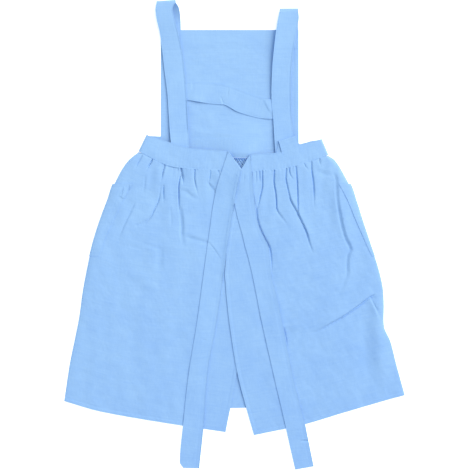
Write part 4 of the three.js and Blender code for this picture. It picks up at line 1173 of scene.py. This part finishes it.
def blurred(grid, radius, axis):
    """Grid averaged along one axis over a bell of the given radius in cells, its ends held."""
    reach = np.arange(-2 * radius, 2 * radius + 1)
    weights = bell(reach, radius)
    weights = weights / weights.sum()
    size = grid.shape[axis]
    total = np.zeros_like(grid)
    for shift, weight in zip(reach, weights):
        total += weight * np.take(grid, np.clip(np.arange(size) + shift, 0, size - 1), axis=axis)
    return total


def top_of(tie_below, x, y, reach=4.0):
    """Top of a tie that is already laid, at the places it is under, and zero elsewhere."""
    top = np.zeros_like(x)
    cloth = tie_below.reshape(-1, 3)
    for k in range(len(x)):
        near = cloth[np.abs(cloth[:, 1] - y[k].mean()) < TIE_NEAR]
        gap = np.hypot(x[k][:, None] - near[:, 0], y[k][:, None] - near[:, 1])
        top[k] = np.max(np.where(gap < reach, near[:, 2] + TIE_THICK / 2, 0), axis=1, initial=0)
    return top


def tie(cut, tie_below):
    """Waist tie: leaves the band's end, folds over a slanted line and drapes down the skirt."""
    laid = widen(strip(cut.rows, TIE_STEP["laid"]), STRAP_COLUMNS)
    x, y = laid[..., 0], laid[..., 1]
    around = [(i * DRAPE["beside"], j * DRAPE["along"]) for i in (-1, 0, 1) for j in (-1, 0, 1)]
    floor = np.max([skirt_top(x + dx, y + dy) for dx, dy in around], axis=0)
    if tie_below is not None:
        floor = np.maximum(floor, top_of(tie_below, x, y))
    floor = floor + LAY_GAP + TIE_THICK / 2
    draped = np.maximum(floor, laid[..., 2])
    for _ in range(DRAPE["passes"]):
        draped = np.maximum(blurred(blurred(draped, DRAPE["long_blur"], 0), DRAPE["cross_blur"], 1), floor)
    draped = np.maximum(blurred(draped, DRAPE["last_blur"], 0), floor)
    laid[..., 2] = raised(draped, x, y, TIE_RUMPLES, cut.seed)
    sewn = Rise(cut.seam, TIE_GROOVE["half"], TIE_GROOVE["deep"])
    laid[..., 2] += creased(x, y, cut.creases) - hump(np.linspace(0, 1, STRAP_COLUMNS + 1), sewn)[None, :]
    laid[..., 2] += cut.curl * (curled if cut.seam > 0.5 else curled[:, ::-1])
    fold = cut.rows[0].copy()
    fold["z"] = BACK_BAND_Z
    fold["turn"] = laid[0, :, 2].mean()
    entry = lay_run([edges(cut.start[0], BACK_BAND_Z), edges(fold, BACK_BAND_Z)], TIE_STEP["entry"])
    over = np.array(turn_over(cut.start[0], fold))
    return np.concatenate([widen(entry, STRAP_COLUMNS), widen(over, STRAP_COLUMNS), laid])


Tie = namedtuple("Tie", "start rows seam curl creases seed flat rests_on")
TIES = {
    "right": Tie(RIGHT_TIE_START, RIGHT_TIE_ROWS, 1 - TIE_SEAM, 0.5, RIGHT_TIE_CREASES, seed=62,
                 flat=(0.048, 0.82), rests_on=["skirt_back_right_cloth"]),
    "left": Tie(LEFT_TIE_START, LEFT_TIE_ROWS, TIE_SEAM, 1.0, LEFT_TIE_CREASES, seed=61,
                flat=(0.048, 0.83), rests_on=["skirt_back_left_cloth", "waist_tie_right_cloth"]),
}
tie_below = None
for side, cut in TIES.items():
    laid_tie = tie(cut, tie_below)
    rows = np.arange(TIE_SEWN["from"], len(laid_tie) - TIE_SEWN["short"])
    seam = seam_on(laid_tie, STRAP_COLUMNS * cut.seam, rows, TIE_THICK / 2)
    lay_cloth(f"waist_tie_{side}", laid_tie, TIE_THICK, [seam])
    tie_below = laid_tie

# Table: a plain white sheet under the apron. One broad soft lamp is high up beyond the bib's right corner,
# a pale room lights the rest, and the camera looks from straight above.
TABLE_SIZE = 30.0
TABLE_DROP = 0.0002
TABLE_FINISH = {
    "Base Color": (0.92, 0.92, 0.92, 1),
    "Roughness": 0.9,
    "Emission Color": (1, 1, 1, 1),
    "Emission Strength": 0.55,
}

table = bmesh.new()
bmesh.ops.create_grid(table, x_segments=2, y_segments=2, size=TABLE_SIZE / 2)
table_mesh = bpy.data.meshes.new("floor")
table.to_mesh(table_mesh)
table.free()
white = bpy.data.materials.new("white_table")
white.use_nodes = True
for socket, value in TABLE_FINISH.items():
    white.node_tree.nodes["Principled BSDF"].inputs[socket].default_value = value
table_mesh.materials.append(white)
floor = bpy.data.objects.new("floor", table_mesh)
floor.location.z = -TABLE_DROP
bpy.context.collection.objects.link(floor)

ROOM = {"strength": 0.627, "colour": (0.754, 0.877, 1.0, 1)}
LAMP = {"place": (13.0, 11.0, 18.0), "aim": (0, 0, 0), "size": 24.0, "watts": 6950,
        "colour": (1.0, 0.873, 0.755)}

room = bpy.data.worlds.new("room")
room.use_nodes = True
room.node_tree.nodes["Background"].inputs["Color"].default_value = ROOM["colour"]
room.node_tree.nodes["Background"].inputs["Strength"].default_value = ROOM["strength"]
bpy.context.scene.world = room
lamp_light = bpy.data.lights.new("softbox", "AREA")
lamp_light.shape = "SQUARE"
lamp_light.size = LAMP["size"]
lamp_light.energy = LAMP["watts"]
lamp_light.color = LAMP["colour"]
lamp = bpy.data.objects.new("softbox", lamp_light)
lamp.location = LAMP["place"]
lamp.rotation_euler = (Vector(LAMP["aim"]) - Vector(LAMP["place"])).to_track_quat("-Z", "Y").to_euler()
lamp.visible_camera = False
bpy.context.collection.objects.link(lamp)

VIEW_WIDTH = 1.175
VIEW_MIDDLE = 0.00125
LENS = 100.0
SENSOR = 36.0
camera_data = bpy.data.cameras.new("camera")
camera_data.type = "PERSP"
camera_data.lens = LENS
camera_data.sensor_width = SENSOR
camera = bpy.data.objects.new("camera", camera_data)
camera.location = (VIEW_MIDDLE, 0, VIEW_WIDTH / 2 * LENS / (SENSOR / 2))
bpy.context.collection.objects.link(camera)
bpy.context.scene.camera = camera
bpy.context.scene.view_settings.view_transform = "Standard"
